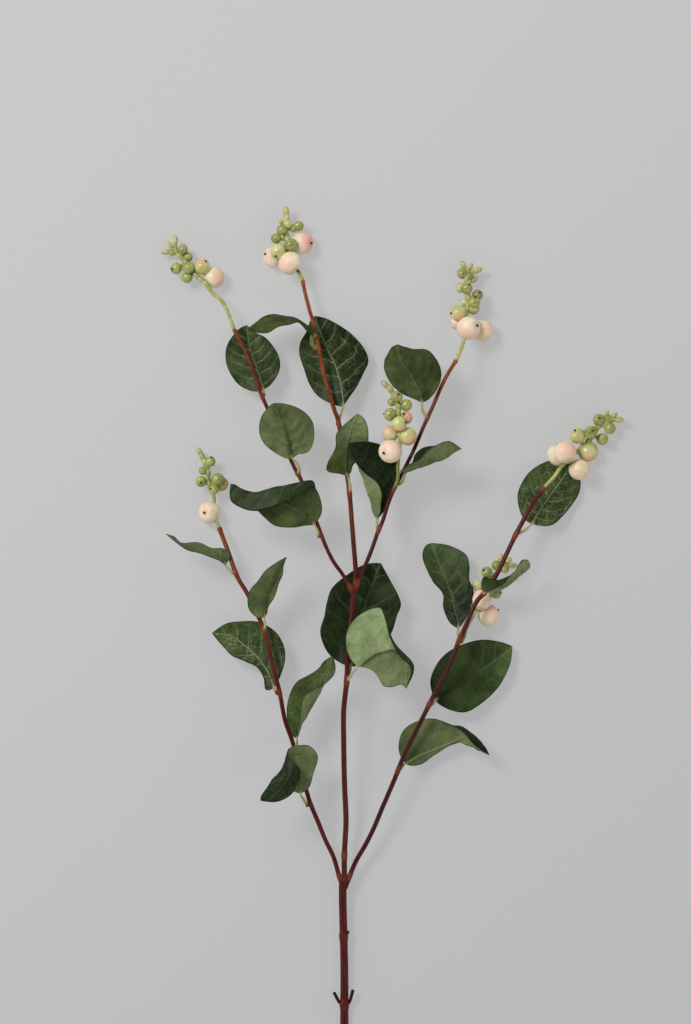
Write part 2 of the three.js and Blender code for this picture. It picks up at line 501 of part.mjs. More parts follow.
  leaf_right_2: {
    stem: 'branch_right',
    petiole: [[51.5, 301.5, 21.5], [53.5, 302, 19], [55, 304, 17.5]],
    rows: [
      [55, 304, 17],
      [53.5, 307.5, 15.5,  58, 307, 15.5,  58.5, 301, 15.5],
      [52, 315, 14.5,  64, 310.5, 12.5,  65.5, 298, 13],
      [54.5, 323, 14,  71, 314, 10.5,  73.5, 297, 11],
      [60.5, 331.5, 13,  77.5, 318.5, 9,  82.5, 302, 9],
      [71, 337.5, 11,  84.5, 323.5, 8,  91, 309.5, 8],
      [83.5, 340.5, 8.5,  91.5, 328.5, 7,  96.5, 317.5, 7.5],
      [95, 339, 6.5,  97.5, 333, 6,  100.5, 327.5, 7],
      [101.5, 336.5, 5.5],
    ],
  },
  leaf_right_3: {
    stem: 'branch_right',
    petiole: [[70, 341, 23], [68.5, 344.5, 20], [69, 347, 17.5]],
    rows: [
      [69, 347, 17],
      [64, 350.5, 15.5,  68.5, 352, 16,  73, 352.5, 17],
      [60, 359.5, 13,  66.5, 359.5, 14,  76.5, 360.5, 15],
      [59.5, 368.5, 12.5,  64.5, 368, 12,  78, 370, 13.5],
      [53.5, 375.5, 12,  61.5, 376.5, 10,  75.5, 377, 12],
      [49.5, 384, 9.5,  58, 384, 8,  75.5, 385.5, 10],
      [47.5, 392, 6.5,  55, 391, 5.5,  72.5, 392.5, 7],
      [49.5, 397, 4,  53.5, 395.5, 4,  62, 397.5, 4.5],
      [53, 398.5, 3],
    ],
  },
  leaf_right_4: {
    stem: 'branch_right',
    petiole: [[85, 369, 22], [84, 368.5, 23.5], [84.5, 369, 24]],
    rows: [
      [84, 368.5, 24],
      [82.5, 374, 24,  84.5, 372, 24,  87.5, 369.5, 24.5,  87, 370, 25,  86.5, 370, 26],
      [84.5, 378.5, 24.5,  88, 375, 24,  92, 370.5, 24.5,  91.5, 371, 26,  91, 371.5, 27],
      [91, 376.5, 24.5,  93.5, 374.5, 24.5,  96.5, 372.5, 25,  96, 373, 27,  95, 374, 28],
      [97, 378, 25,  98.5, 377, 25,  101.5, 376, 25.5,  101, 377, 27.5,  99, 378, 29],
      [102.5, 381.5, 26,  104, 381, 25.5,  106, 380, 26,  105, 381, 28.5,  103, 382.5, 29.5],
      [105.5, 386, 27,  107, 385, 26.5,  110, 383.5, 27,  108, 385, 29,  105.5, 386.5, 30],
      [109, 388.5, 28.5],
    ],
  },
  leaf_right_5: {
    stem: 'branch_right',
    petiole: [[103, 403.5, 19], [108.5, 406, 16.5], [113, 410, 14]],
    rows: [
      [113, 410, 14],
      [108.5, 413, 12.5,  114.5, 412.5, 12.5,  118.5, 409, 12],
      [105.5, 419.5, 10.5,  117.5, 417.5, 10,  125.5, 409.5, 9.5],
      [104.5, 427.5, 9.5,  121, 422.5, 8,  131.5, 414.5, 7.5],
      [107, 434.5, 8.5,  124.5, 427.5, 6.5,  137, 421, 5.5],
      [112, 441.5, 7,  128.5, 433, 5,  141.5, 428.5, 4],
      [119.5, 446.5, 5,  132, 438, 3.5,  142.5, 436.5, 2.5],
      [127.5, 448.5, 3,  134.5, 442.5, 2.5,  139.5, 442.5, 2],
      [136, 446, 2],
    ],
  },
};

function vector(point) {
  return new THREE.Vector3(...point);
}

/** A closed geometry as a solid that can be joined and cut. */
function toSolid(geometry) {
  const bare = new THREE.BufferGeometry();
  bare.setAttribute('position', geometry.getAttribute('position'));
  bare.setIndex(geometry.getIndex());
  const merged = mergeVertices(bare, MERGE_DISTANCE);
  return new wasm.Manifold(new wasm.Mesh({
    numProp: 3,
    vertProperties: new Float32Array(merged.getAttribute('position').array),
    triVerts: new Uint32Array(merged.getIndex().array),
  }));
}

function toGeometry(solid) {
  const mesh = solid.getMesh();
  const geometry = new THREE.BufferGeometry();
  geometry.setAttribute('position', new THREE.BufferAttribute(mesh.vertProperties, mesh.numProp));
  geometry.setIndex(new THREE.BufferAttribute(mesh.triVerts, 1));
  geometry.computeVertexNormals();
  return geometry;
}

/** The value at t, 0 to 1, of numbers spread evenly along a line. */
function valueAlong(values, t) {
  const place = t * (values.length - 1);
  const index = Math.min(Math.floor(place), values.length - 2);
  return THREE.MathUtils.lerp(values[index], values[index + 1], place - index);
}

/** A closed tube along a path. Grown by the seat gap it cuts the seat of what is plugged into it. */
function tube(path, radii, { sides = TWIG_SIDES, step = TUBE_STEP, grow = 0 } = {}) {
  const curve = new THREE.CatmullRomCurve3(path.map(vector));
  const rings = Math.max(1, Math.round(curve.getLength() / step));
  const positions = [];
  const faces = [];
  for (let ring = 0; ring <= rings; ring += 1) {
    const t = ring / rings;
    const centre = curve.getPointAt(t);
    const ahead = curve.getTangentAt(t);
    const across = new THREE.Vector3().crossVectors(ahead, UP).normalize();
    const lift = new THREE.Vector3().crossVectors(across, ahead);
    const radius = valueAlong(radii, t) + grow;
    if (ring === 0) centre.addScaledVector(ahead, -grow);
    if (ring === rings) centre.addScaledVector(ahead, grow);
    for (let side = 0; side < sides; side += 1) {
      const angle = ((side + 0.5) / sides) * 2 * Math.PI;
      const corner = centre.clone();
      corner.addScaledVector(across, Math.cos(angle) * radius);
      corner.addScaledVector(lift, Math.sin(angle) * radius);
      positions.push(corner.x, corner.y, corner.z);
    }
  }
  for (let ring = 0; ring < rings; ring += 1) {
    for (let side = 0; side < sides; side += 1) {
      const here = ring * sides + side;
      const beside = ring * sides + ((side + 1) % sides);
      faces.push(here, here + sides, beside, beside, here + sides, beside + sides);
    }
  }
  const last = rings * sides;
  for (let side = 1; side < sides - 1; side += 1) {
    faces.push(0, side, side + 1);
    faces.push(last, last + side + 1, last + side);
  }
  const geometry = new THREE.BufferGeometry();
  geometry.setAttribute('position', new THREE.Float32BufferAttribute(positions, 3));
  geometry.setIndex(faces);
  return toSolid(geometry);
}

/** Cuts from a piece the seats of the twigs it is plugged into, with the gap round them. */
function seat(piece, hosts) {
  return hosts.reduce((rest, name) => {
    const { path, radii, sides } = STEMS[name];
    return rest.subtract(tube(path, radii, { sides, grow: SEAT_GAP }));
  }, piece);
}

/** Takes off what would reach below the table. */
function trimAtTable(piece) {
  const table = new THREE.BoxGeometry(TABLE_SIZE, TABLE_SIZE, TABLE_SIZE);
  table.translate(0, 0, -TABLE_SIZE / 2);
  return piece.subtract(toSolid(table));
}

function stemSolid(name) {
  const { path, radii, sides, hosts } = STEMS[name];
  let solid = seat(tube(path, radii, { sides }), hosts);
  if (name === 'main_stem') {
    STUBS.forEach((stub) => {
      solid = solid.add(tube(stub, STUB_RADII, { sides: STALK_SIDES, step: PETIOLE_STEP }));
    });
    solid = trimAtTable(solid);
  }
  return solid;
}

/** One berry or bud, which points away from the stalk that carries it. */
function fruitSolid(kind, centre, radius, stalkPoint) {
  const away = centre.clone().sub(stalkPoint).normalize();
  const { round, along, grown } = radius < SMALL_BERRY ? SMALL_FACES : LARGE_FACES;
  const berry = new THREE.SphereGeometry(radius * grown, round, along);
  if (kind === 'bud') berry.scale(BUD_WAIST, BUD_STRETCH, BUD_WAIST);
  const turn = new THREE.Quaternion().setFromUnitVectors(new THREE.Vector3(0, 1, 0), away);
  berry.applyQuaternion(turn);
  berry.translate(centre.x, centre.y, centre.z);
  return toSolid(berry);
}

function clusterSolid({ stem, stalk, fruit }) {
  const curve = new THREE.CatmullRomCurve3(stalk.map(vector));
  const places = curve.getSpacedPoints(STALK_PLACES);
  let solid = tube(stalk, STALK_RADII, { sides: STALK_SIDES, step: STALK_STEP });
  fruit.forEach(([kind, x, y, z, radius]) => {
    const centre = new THREE.Vector3(x, y, z);
    const start = places.reduce((best, point) => (
      point.distanceTo(centre) < best.distanceTo(centre) ? point : best));
    if (start.distanceTo(centre) > radius + PEDICEL_REACH) {
      const thin = [PEDICEL_RADIUS, PEDICEL_RADIUS];
      const pedicel = [start.toArray(), centre.toArray()];
      solid = solid.add(tube(pedicel, thin, { sides: PEDICEL_SIDES, step: Infinity }));
    }
    solid = solid.add(fruitSolid(kind, centre, radius, start));
  });
  return trimAtTable(seat(solid, [stem]));
}

/** Points of a leaf's row as vectors: one for its base or tip, else three or five. */
function rowPoints(row) {
  const points = [];
  for (let i = 0; i < row.length; i += 3) points.push(vector(row.slice(i, i + 3)));
  return points;
}

/** The blade's middle surface: rows of vertices between a single one at its base and its tip. */
function bladeSurface(rows) {
  const inner = rows.slice(1, -1);
  const columns = rowPoints(inner[0]).length;
  const cells = (columns - 1) * CELLS_PER_COLUMN;
  const positions = [...rows[0]];
  inner.forEach((row) => {
    const across = new THREE.CatmullRomCurve3(rowPoints(row), false, 'catmullrom', ROW_TENSION);
    across.getPoints(cells).forEach((point) => positions.push(point.x, point.y, point.z));
  });
  positions.push(...rows.at(-1));
  const faces = [];
  const vertex = (row, cell) => 1 + row * (cells + 1) + cell;
  const tip = vertex(inner.length, 0);
  for (let cell = 0; cell < cells; cell += 1) {
    faces.push(0, vertex(0, cell + 1), vertex(0, cell));
    for (let row = 0; row < inner.length - 1; row += 1) {
      const here = vertex(row, cell);
      const ahead = vertex(row + 1, cell);
      faces.push(here, here + 1, ahead + 1, here, ahead + 1, ahead);
    }
    faces.push(tip, vertex(inner.length - 1, cell), vertex(inner.length - 1, cell + 1));
  }
  const surface = new THREE.BufferGeometry();
  surface.setAttribute('position', new THREE.Float32BufferAttribute(positions, 3));
  surface.setIndex(faces);
  surface.computeVertexNormals();
  return surface;
}

/** Gives a surface a wall: a face on each side, and a rim along its open edges. */
function thicken(surface, thickness) {
  const middle = surface.getAttribute('position');
  const normals = surface.getAttribute('normal');
  const triangles = surface.getIndex().array;
  const count = middle.count;
  const positions = [];
  [0.5, -0.5].forEach((side) => {
    for (let i = 0; i < count; i += 1) {
      const point = new THREE.Vector3().fromBufferAttribute(middle, i);
      const normal = new THREE.Vector3().fromBufferAttribute(normals, i);
      point.addScaledVector(normal, side * thickness);
      positions.push(point.x, point.y, point.z);
    }
  });
  const faces = [];
  const edges = new Set();
  for (let i = 0; i < triangles.length; i += 3) {
    const [a, b, c] = triangles.slice(i, i + 3);
    faces.push(a, b, c, a + count, c + count, b + count);
    [[a, b], [b, c], [c, a]].forEach(([from, to]) => edges.add(`${from}_${to}`));
  }
  edges.forEach((edge) => {
    const [from, to] = edge.split('_').map(Number);
    if (!edges.has(`${to}_${from}`)) {
      faces.push(to, from, from + count, to, from + count, to + count);
    }
  });
  const geometry = new THREE.BufferGeometry();
  geometry.setAttribute('position', new THREE.Float32BufferAttribute(positions, 3));
  geometry.setIndex(faces);
  return toSolid(geometry);
}

/** A leaf: its blade, and its petiole, which runs on into the blade as the start of the rib. */
function leafSolid({ stem, petiole, rows }) {
  const ribs = rows.slice(0, 2).map((row) => {
    const points = rowPoints(row);
    return points[(points.length - 1) / 2].toArray();
  });
  const route = [...petiole.slice(0, -1), ...ribs];
  const stalk = tube(route, PETIOLE_RADII, { sides: THIN_SIDES, step: PETIOLE_STEP });
  return seat(thicken(bladeSurface(rows), LEAF_THICKNESS).add(stalk), [stem]);
}

const plant = new THREE.Group();

function addMesh(name, solid, finish) {
  const mesh = new THREE.Mesh(toGeometry(solid), new THREE.MeshStandardMaterial(finish));
  mesh.name = name;
  plant.add(mesh);
}

Object.keys(STEMS).forEach((name) => addMesh(name, stemSolid(name), BARK));
Object.entries(CLUSTERS).forEach(([name, cluster]) => {
  addMesh(name, clusterSolid(cluster), BERRY_CREAM);
});
Object.entries(LEAVES).forEach(([name, leaf]) => addMesh(name, leafSolid(leaf), LEAF_GREEN));

// The origin is on the table, under the middle of the object.
const middle = new THREE.Box3().setFromObject(plant).getCenter(new THREE.Vector3());
plant.position.set(-middle.x, -middle.y, 0);
plant.updateMatrixWorld(true);

export default plant;
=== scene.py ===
# %% [markdown]
# # A cut snowberry stem, lying on a pale table
# The packed solids of the stem come first: six twigs, seven clusters of berries and twenty-one
# leaves. Each is then made again as a finer mesh in the same place, with its own finish: streaked
# red-brown bark, leaves with ribs and veins, and waxy berries with a pink blush. The camera looks
# straight down, so the picture shows the plant as it would hang on a wall.

# %% Load the solids
import json
import math

import bpy
import numpy as np
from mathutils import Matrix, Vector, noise

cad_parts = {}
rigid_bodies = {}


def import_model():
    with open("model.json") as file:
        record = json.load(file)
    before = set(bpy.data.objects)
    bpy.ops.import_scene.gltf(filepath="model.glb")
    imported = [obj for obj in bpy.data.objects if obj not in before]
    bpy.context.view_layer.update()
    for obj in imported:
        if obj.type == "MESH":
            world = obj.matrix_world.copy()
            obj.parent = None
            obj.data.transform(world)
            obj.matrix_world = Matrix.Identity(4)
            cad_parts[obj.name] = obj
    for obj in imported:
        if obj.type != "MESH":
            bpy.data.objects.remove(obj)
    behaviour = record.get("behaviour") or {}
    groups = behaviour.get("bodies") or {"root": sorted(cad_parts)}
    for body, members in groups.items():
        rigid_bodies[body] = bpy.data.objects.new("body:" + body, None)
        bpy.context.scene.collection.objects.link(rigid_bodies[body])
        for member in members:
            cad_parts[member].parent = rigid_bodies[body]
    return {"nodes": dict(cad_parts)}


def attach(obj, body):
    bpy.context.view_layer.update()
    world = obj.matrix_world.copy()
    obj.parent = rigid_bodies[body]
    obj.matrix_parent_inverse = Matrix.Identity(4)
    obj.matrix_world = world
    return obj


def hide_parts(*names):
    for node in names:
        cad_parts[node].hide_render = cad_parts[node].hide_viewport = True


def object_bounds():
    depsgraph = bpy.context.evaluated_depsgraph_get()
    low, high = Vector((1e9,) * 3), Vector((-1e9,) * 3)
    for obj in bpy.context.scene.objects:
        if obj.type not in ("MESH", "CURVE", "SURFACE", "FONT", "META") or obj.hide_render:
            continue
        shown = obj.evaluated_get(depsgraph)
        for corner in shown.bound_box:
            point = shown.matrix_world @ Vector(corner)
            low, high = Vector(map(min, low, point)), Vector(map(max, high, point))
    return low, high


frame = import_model()
cad_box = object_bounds()
cad_sides = cad_box[1] - cad_box[0]
print("solids:", len(frame["nodes"]), "box in mm:", [round(side * 1000) for side in cad_sides])

# %% [markdown]
# ## Millimetres measured on the plant
# Every place below is given in millimetres on the plant itself: x to the right and y along the stem
# from its cut end, z up from the table. The solids have their origin under the middle of their box
# instead. One shift joins the two, and it is read from the ring of corners at the stem's cut end,
# so a change of the solids can't leave the finer meshes behind.

# %% From the plant's millimetres to the scene's metres
MM = 0.001
CUT_END_X = 0.5
corners = np.array([corner.co for corner in frame["nodes"]["main_stem"].data.vertices])
cut_ring = corners[corners[:, 1] < corners[:, 1].min() + 0.1 * MM]
CUT_MIDDLE_X = (cut_ring[:, 0].min() + cut_ring[:, 0].max()) / 2
SHIFT = np.array([CUT_MIDDLE_X - CUT_END_X * MM, cut_ring[:, 1].min(), 0])


def placed(points):
    """Places on the plant, in millimetres, as places in the scene, in metres."""
    return np.asarray(points, float) * MM + SHIFT


print("shift in mm:", (SHIFT / MM).round(2))

# %% [markdown]
# ## The camera
# A far camera with a long lens shows the lying plant with hardly any perspective, as the picture
# does. Its frame is a rectangle on the table, and the lens follows from the frame's height.

# %% Camera straight above
FRAME_CENTRE = (1.2, 417.2, 15)
FRAME_HEIGHT = 614.4 * MM
CAMERA_HEIGHT = 6.0
SENSOR = 36
FAR_END = 20

lens = bpy.data.cameras.new("camera above")
lens.sensor_width = SENSOR
lens.lens = SENSOR * CAMERA_HEIGHT / FRAME_HEIGHT
lens.clip_end = FAR_END
camera = bpy.data.objects.new("camera above", lens)
camera.location = placed(FRAME_CENTRE) + np.array([0, 0, CAMERA_HEIGHT])
bpy.context.scene.collection.objects.link(camera)
bpy.context.scene.camera = camera
print("lens in mm:", round(lens.lens))

# %% [markdown]
# ## Nodes from Python expressions
# A material is a tree of nodes. Wiring it one socket at a time hides what it computes, so a small
# class stands for an output socket, and sums, differences and products of such wires add the Math
# nodes. Every other node comes from one method, which sets a node up before it fills its sockets.
# The same two classes wire the Geometry Nodes further down.


# %% A bench that wires nodes
class Bench:
    """A node tree being wired."""

    def __init__(self, tree):
        self.tree = tree

    def node(self, kind, settings=None, inputs=None, output=0):
        """Adds a node, sets it up, fills its sockets, and gives one of its outputs."""
        made = self.tree.nodes.new(kind)
        for name, value in (settings or {}).items():
            setattr(made, name, value)
        for name, value in (inputs or {}).items():
            for part in value if isinstance(value, list) else [value]:
                if isinstance(part, Wire):
                    self.tree.links.new(part.socket, made.inputs[name])
                else:
                    made.inputs[name].default_value = part
        return Wire(self, made.outputs[output]) if made.outputs else made

    def noise(self, place, size, detail, output=0, **more):
        """Soft clouds between 0 and 1, which are smaller the larger the size."""
        inputs = {"Vector": place, "Scale": size, "Detail": detail, **more}
        return self.node("ShaderNodeTexNoise", {}, inputs, output)

    def vector(self, operation, values, output=0):
        """Arithmetic on vectors, whose values are given by socket."""
        return self.node("ShaderNodeVectorMath", {"operation": operation}, values, output)

    def part(self, vector, axis):
        """One of a vector's three parts, by its letter."""
        return self.node("ShaderNodeSeparateXYZ", {}, {"Vector": vector}, axis)


print("bench:", [name for name in vars(Bench) if not name.startswith("_")])


# %% Wires that take part in arithmetic
class Wire:
    """An output socket that takes part in arithmetic."""

    def __init__(self, bench, socket):
        self.bench = bench
        self.socket = socket

    def math(self, operation, *values):
        """Adds a Math node."""
        return self.bench.node("ShaderNodeMath", {"operation": operation}, dict(enumerate(values)))

    def __add__(self, other):
        return self.math("ADD", self, other)

    def __sub__(self, other):
        return self.math("SUBTRACT", self, other)

    def __rsub__(self, other):
        return self.math("SUBTRACT", other, self)

    def __mul__(self, other):
        return self.math("MULTIPLY", self, other)

    def __abs__(self):
        return self.math("ABSOLUTE", self)

    def __or__(self, other):
        """The larger of two values."""
        return self.math("MAXIMUM", self, other)

    __radd__ = __add__
    __rmul__ = __mul__

    def rise(self, low, high):
        """0 below low, 1 above high, and smooth between. With low above high it falls."""
        limits = {"Value": self, "From Min": low, "From Max": high}
        return self.bench.node("ShaderNodeMapRange", {"interpolation_type": "SMOOTHSTEP"}, limits)


print("a wire can:", [name.strip("_") for name, made in vars(Wire).items() if callable(made)][1:])

# %% [markdown]
# ## Colours and materials
# Colours are written as a screen shows them, 0 to 255. What is the same all over a finish goes on
# the shader's own sockets, and only what changes over the surface is linked to it.


# %% Colours and materials
def paint(red, green, blue):
    """A colour as a screen shows it, 0 to 255, as the linear colour that a shader reads."""
    linear = [((level / 255 + 0.055) / 1.055) ** 2.4 for level in (red, green, blue)]
    return (*linear, 1)


def new_material(name, constants):
    """A material, its bench and its shader, whose constant values go on its own sockets."""
    material = bpy.data.materials.new(name)
    material.use_nodes = True
    shader = material.node_tree.nodes["Principled BSDF"]
    for socket, value in constants.items():
        shader.inputs[socket].default_value = value
    return material, Bench(material.node_tree), shader


def feed(bench, shader, **values):
    """Links what changes over a surface to the shader. An underscore stands for a space."""
    for name, wire in values.items():
        bench.tree.links.new(wire.socket, shader.inputs[name.replace("_", " ")])


def mixed(factor, first, second):
    """A mix of two colours by a factor that is a wire."""
    settings = {"data_type": "RGBA"}
    return factor.bench.node("ShaderNodeMix", settings, {0: factor, 6: first, 7: second}, output=2)


def object_place(bench):
    """Where a spot lies on its object, in metres."""
    return bench.node("ShaderNodeTexCoord", {}, {}, "Object")


WHITE = (1, 1, 1, 1)
print("a mid grey on the screen is", round(paint(128, 128, 128)[0], 3), "in a shader")

# %% [markdown]
# ## The pale table and the soft light
# The table is one large pale sheet. It is a backdrop and no part of the plant. Its colour darkens a
# little from its upper left to its lower right, as the picture's ground does: painted falloff of
# the brighter light, which stands to the upper left. A faint glow of its own keeps the shadows on
# it light. Two wide soft lights stand over the plant. The brighter one, to the upper left, puts a
# small bright spot on every berry. A pale sky fills the shadows until they hardly show, as in a
# photographer's light tent. The sky is darkest overhead, where it would mirror in the leaves.

# %% Table
TABLE_HALF = 4
TABLE_HEIGHT = -0.05 * MM
TABLE_GLOW = 0.35
TABLE_SLANT = 0.75
table_mesh = bpy.data.meshes.new("table")
table_corners = [(TABLE_HALF * x, TABLE_HALF * y, TABLE_HEIGHT)
                 for x, y in ((-1, -1), (1, -1), (1, 1), (-1, 1))]
table_mesh.from_pydata(table_corners, [], [(0, 1, 2, 3)])
table = bpy.data.objects.new("table", table_mesh)
bpy.context.scene.collection.objects.link(table)
glowing = {"Roughness": 0.9, "Specular IOR Level": 0.1, "Emission Color": WHITE,
           "Emission Strength": TABLE_GLOW}
table_finish, bench, shader = new_material("pale table", glowing)
place = object_place(bench)
# Painted falloff of light: the table's colour darkens away from the brighter light, upper left.
upwards = bench.part(place, "Y") - bench.part(place, "X") * TABLE_SLANT
painted_falloff_greys = mixed(upwards.rise(-0.5, 0.5), paint(107, 107, 108), paint(127, 127, 127))
feed(bench, shader, Base_Color=painted_falloff_greys)
table_mesh.materials.append(table_finish)
print("table:", 2 * TABLE_HALF, "m square")

# %% Lights
SKY_STRENGTH = 0.72
SKY_OVERHEAD = 0.08
SKY_EDGES = (0.9, 0.6)
LIGHTS = {
    "large light, upper left": {"place": (-1.3, 1.2, 2.1), "size": 0.8, "power": 45},
    "small light, lower right": {"place": (1.2, -1.0, 2.2), "size": 0.5, "power": 6},
}
sky = bpy.data.worlds.new("pale sky")
sky.use_nodes = True
bench = Bench(sky.node_tree)
height = bench.part(bench.node("ShaderNodeTexCoord", {}, {}, "Generated"), "Z")
strength = height.rise(*SKY_EDGES) * (1 - SKY_OVERHEAD) * SKY_STRENGTH + SKY_OVERHEAD
background = sky.node_tree.nodes["Background"]
sky.node_tree.links.new(strength.socket, background.inputs["Strength"])
background.inputs["Color"].default_value = WHITE
bpy.context.scene.world = sky
bpy.context.scene.view_settings.view_transform = "Standard"
for name, light in LIGHTS.items():
    lamp = bpy.data.lights.new(name, "AREA")
    lamp.size = light["size"]
    lamp.energy = light["power"]
    holder = bpy.data.objects.new(name, lamp)
    holder.location = light["place"]
    holder.rotation_euler = (-holder.location).to_track_quat("-Z", "Y").to_euler()
    bpy.context.scene.collection.objects.link(holder)
print("lights:", list(LIGHTS))

# %% [markdown]
# ## Geometry Nodes for what repeats or follows a path
# Twigs, stalks and petioles follow a path, and berries repeat. Both are made by trees of Geometry
# Nodes with named inputs, run on a light mesh of points. Numbers that the points keep by name stay
# with the wood and the berries that grow from them, where the finishes read them. The result is
# kept as a plain mesh, so nothing live is left behind.


# %% A tree with named inputs
SOCKETS = {"Geometry": "Geometry", "Sides": "Int", "Material": "Material",
           "Calyx material": "Material", "Knuckles": "Object"}


def geometry_tree(name, labels):
    """An empty tree with named inputs: its bench, and a wire for each input."""
    tree = bpy.data.node_groups.new(name, "GeometryNodeTree")
    labels = ["Geometry", *labels]
    for label in labels:
        kind = "NodeSocket" + SOCKETS.get(label, "Float")
        tree.interface.new_socket(label, in_out="INPUT", socket_type=kind)
    tree.interface.new_socket("Geometry", in_out="OUTPUT", socket_type="NodeSocketGeometry")
    bench = Bench(tree)
    entry = tree.nodes.new("NodeGroupInput")
    return bench, {label: Wire(bench, entry.outputs[label]) for label in labels}


def stored(geometry, name, value, kind="FLOAT"):
    """Keeps a value on each point under a name."""
    settings = {"data_type": kind, "domain": "POINT"}
    return geometry.bench.node("GeometryNodeStoreNamedAttribute", settings,
                               {"Geometry": geometry, "Name": name, "Value": value})


def kept(bench, name, kind="FLOAT"):
    """Reads a value that points keep under a name."""
    return bench.node("GeometryNodeInputNamedAttribute", {"data_type": kind}, {"Name": name})


def pushed(geometry, distance):
    """Moves each point of a shape outwards by a distance."""
    bench = geometry.bench
    outwards = bench.vector("SCALE", {0: bench.node("GeometryNodeInputNormal"), "Scale": distance})
    return bench.node("GeometryNodeSetPosition", {}, {"Geometry": geometry, "Offset": outwards})


print("kinds of input:", sorted(set(SOCKETS.values())))


# %% Growing a mesh from points
def points_mesh(name, places, edges=(), faces=(), **values):
    """A mesh of points in the scene's metres, which keep numbers or vectors by name."""
    mesh = bpy.data.meshes.new(name)
    mesh.from_pydata([tuple(place) for place in places], list(edges), list(faces))
    for label, column in values.items():
        column = np.asarray(column, float)
        kind = "FLOAT" if column.ndim == 1 else "FLOAT_VECTOR"
        keeper = mesh.attributes.new(label, kind, "POINT")
        keeper.data.foreach_set("value" if kind == "FLOAT" else "vector", column.ravel())
    return mesh


def grown(mesh, tree, values):
    """Runs a tree on a mesh and gives the result as a plain mesh."""
    seedling = bpy.data.objects.new(mesh.name, mesh)
    bpy.context.scene.collection.objects.link(seedling)
    modifier = seedling.modifiers.new("growing", "NODES")
    modifier.node_group = tree
    for item in tree.interface.items_tree:
        if item.in_out == "INPUT" and item.name in values:
            modifier[item.identifier] = values[item.name]
    graph = bpy.context.evaluated_depsgraph_get()
    result = bpy.data.meshes.new_from_object(seedling.evaluated_get(graph), depsgraph=graph)
    bpy.data.objects.remove(seedling)
    return result


def finished(name, meshes):
    """Joins meshes into the piece that stands for a solid, and says so."""
    parts = [bpy.data.objects.new(name, mesh) for mesh in meshes]
    for part in parts:
        bpy.context.scene.collection.objects.link(part)
    piece = parts[0]
    if len(parts) > 1:
        with bpy.context.temp_override(active_object=piece, selected_editable_objects=parts):
            bpy.ops.object.join()
    for corner in piece.data.vertices:
        corner.co.z = max(corner.co.z, 0)
    piece.name = piece.data.name = name + "_fine"
    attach(piece, "root")
    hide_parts(name)
    triangles = sum(len(face.vertices) - 2 for face in piece.data.polygons)
    print(piece.name, "has", triangles, "triangles")


print("pieces to make:", len(frame["nodes"]))

# %% [markdown]
# ## Round wood along a path
# One tree of Geometry Nodes turns a line of points into a twig. It smooths the line, gives each
# place its girth, and thickens the wood near a knuckle, where a leaf or a stalk leaves the twig. A
# ring is swept along it. The ring keeps its own corner places and the path its length so far, and
# from these two the bark knows where on the twig it is. Small bumps keep the wood from looking
# turned on a lathe.


# %% Tree that sweeps a twig
BUMP_SIZE = 220


def sweep_tree():
    """Sweeps a round section along a line of points that keep their radius and their length."""
    labels = ["Sides", "Step", "Knuckles", "Swelling", "Reach", "Bumps", "Material"]
    bench, given = geometry_tree("round wood along a path", labels)
    node = bench.node
    line = node("GeometryNodeMeshToCurve", {}, {"Mesh": given["Geometry"]})
    line = node("GeometryNodeCurveSplineType", {"spline_type": "CATMULL_ROM"}, {"Curve": line})
    evenly = {"Curve": line, "Length": given["Step"]}
    line = node("GeometryNodeResampleCurve", {"mode": "LENGTH"}, evenly)
    spots = node("GeometryNodeObjectInfo", {}, {"Object": given["Knuckles"]}, "Geometry")
    nearest = {"target_element": "POINTS"}
    distance = node("GeometryNodeProximity", nearest, {"Target": spots}, "Distance")
    swelling = given["Swelling"] * distance.rise(given["Reach"], 0)
    line = stored(line, "girth", kept(bench, "radius") * (swelling + 1))
    line = stored(line, "knuckle", distance.rise(given["Reach"] * 1.5, 0))
    ring = node("GeometryNodeCurvePrimitiveCircle", {}, {"Resolution": given["Sides"], "Radius": 1})
    ring = stored(ring, "ring", node("GeometryNodeInputPosition"), "FLOAT_VECTOR")
    section = {"Curve": line, "Profile Curve": ring, "Scale": kept(bench, "girth"),
               "Fill Caps": True}
    wood = node("GeometryNodeCurveToMesh", {}, section)
    bump = node("ShaderNodeTexNoise", {}, {"Scale": BUMP_SIZE, "Detail": 2}) - 0.5
    wood = pushed(wood, bump * given["Bumps"])
    wood = node("GeometryNodeSetShadeSmooth", {}, {"Geometry": wood})
    wood = node("GeometryNodeRealizeInstances", {}, {"Geometry": wood})
    wood = node("GeometryNodeSetMaterial", {}, {"Geometry": wood, "Material": given["Material"]})
    node("NodeGroupOutput", {}, {"Geometry": wood})
    return bench.tree


SWEEP = sweep_tree()
print("tree:", SWEEP.name, "with", len(SWEEP.nodes), "nodes")

# %% [markdown]
# ## The twigs' centre lines
# Each twig has a line of places along its middle and a few radii spread evenly along it. The main
# stem starts at the cut end, where it lies flat on the table. Two trimmed side twigs and a bud
# stand on it, and each is a short line of three places.

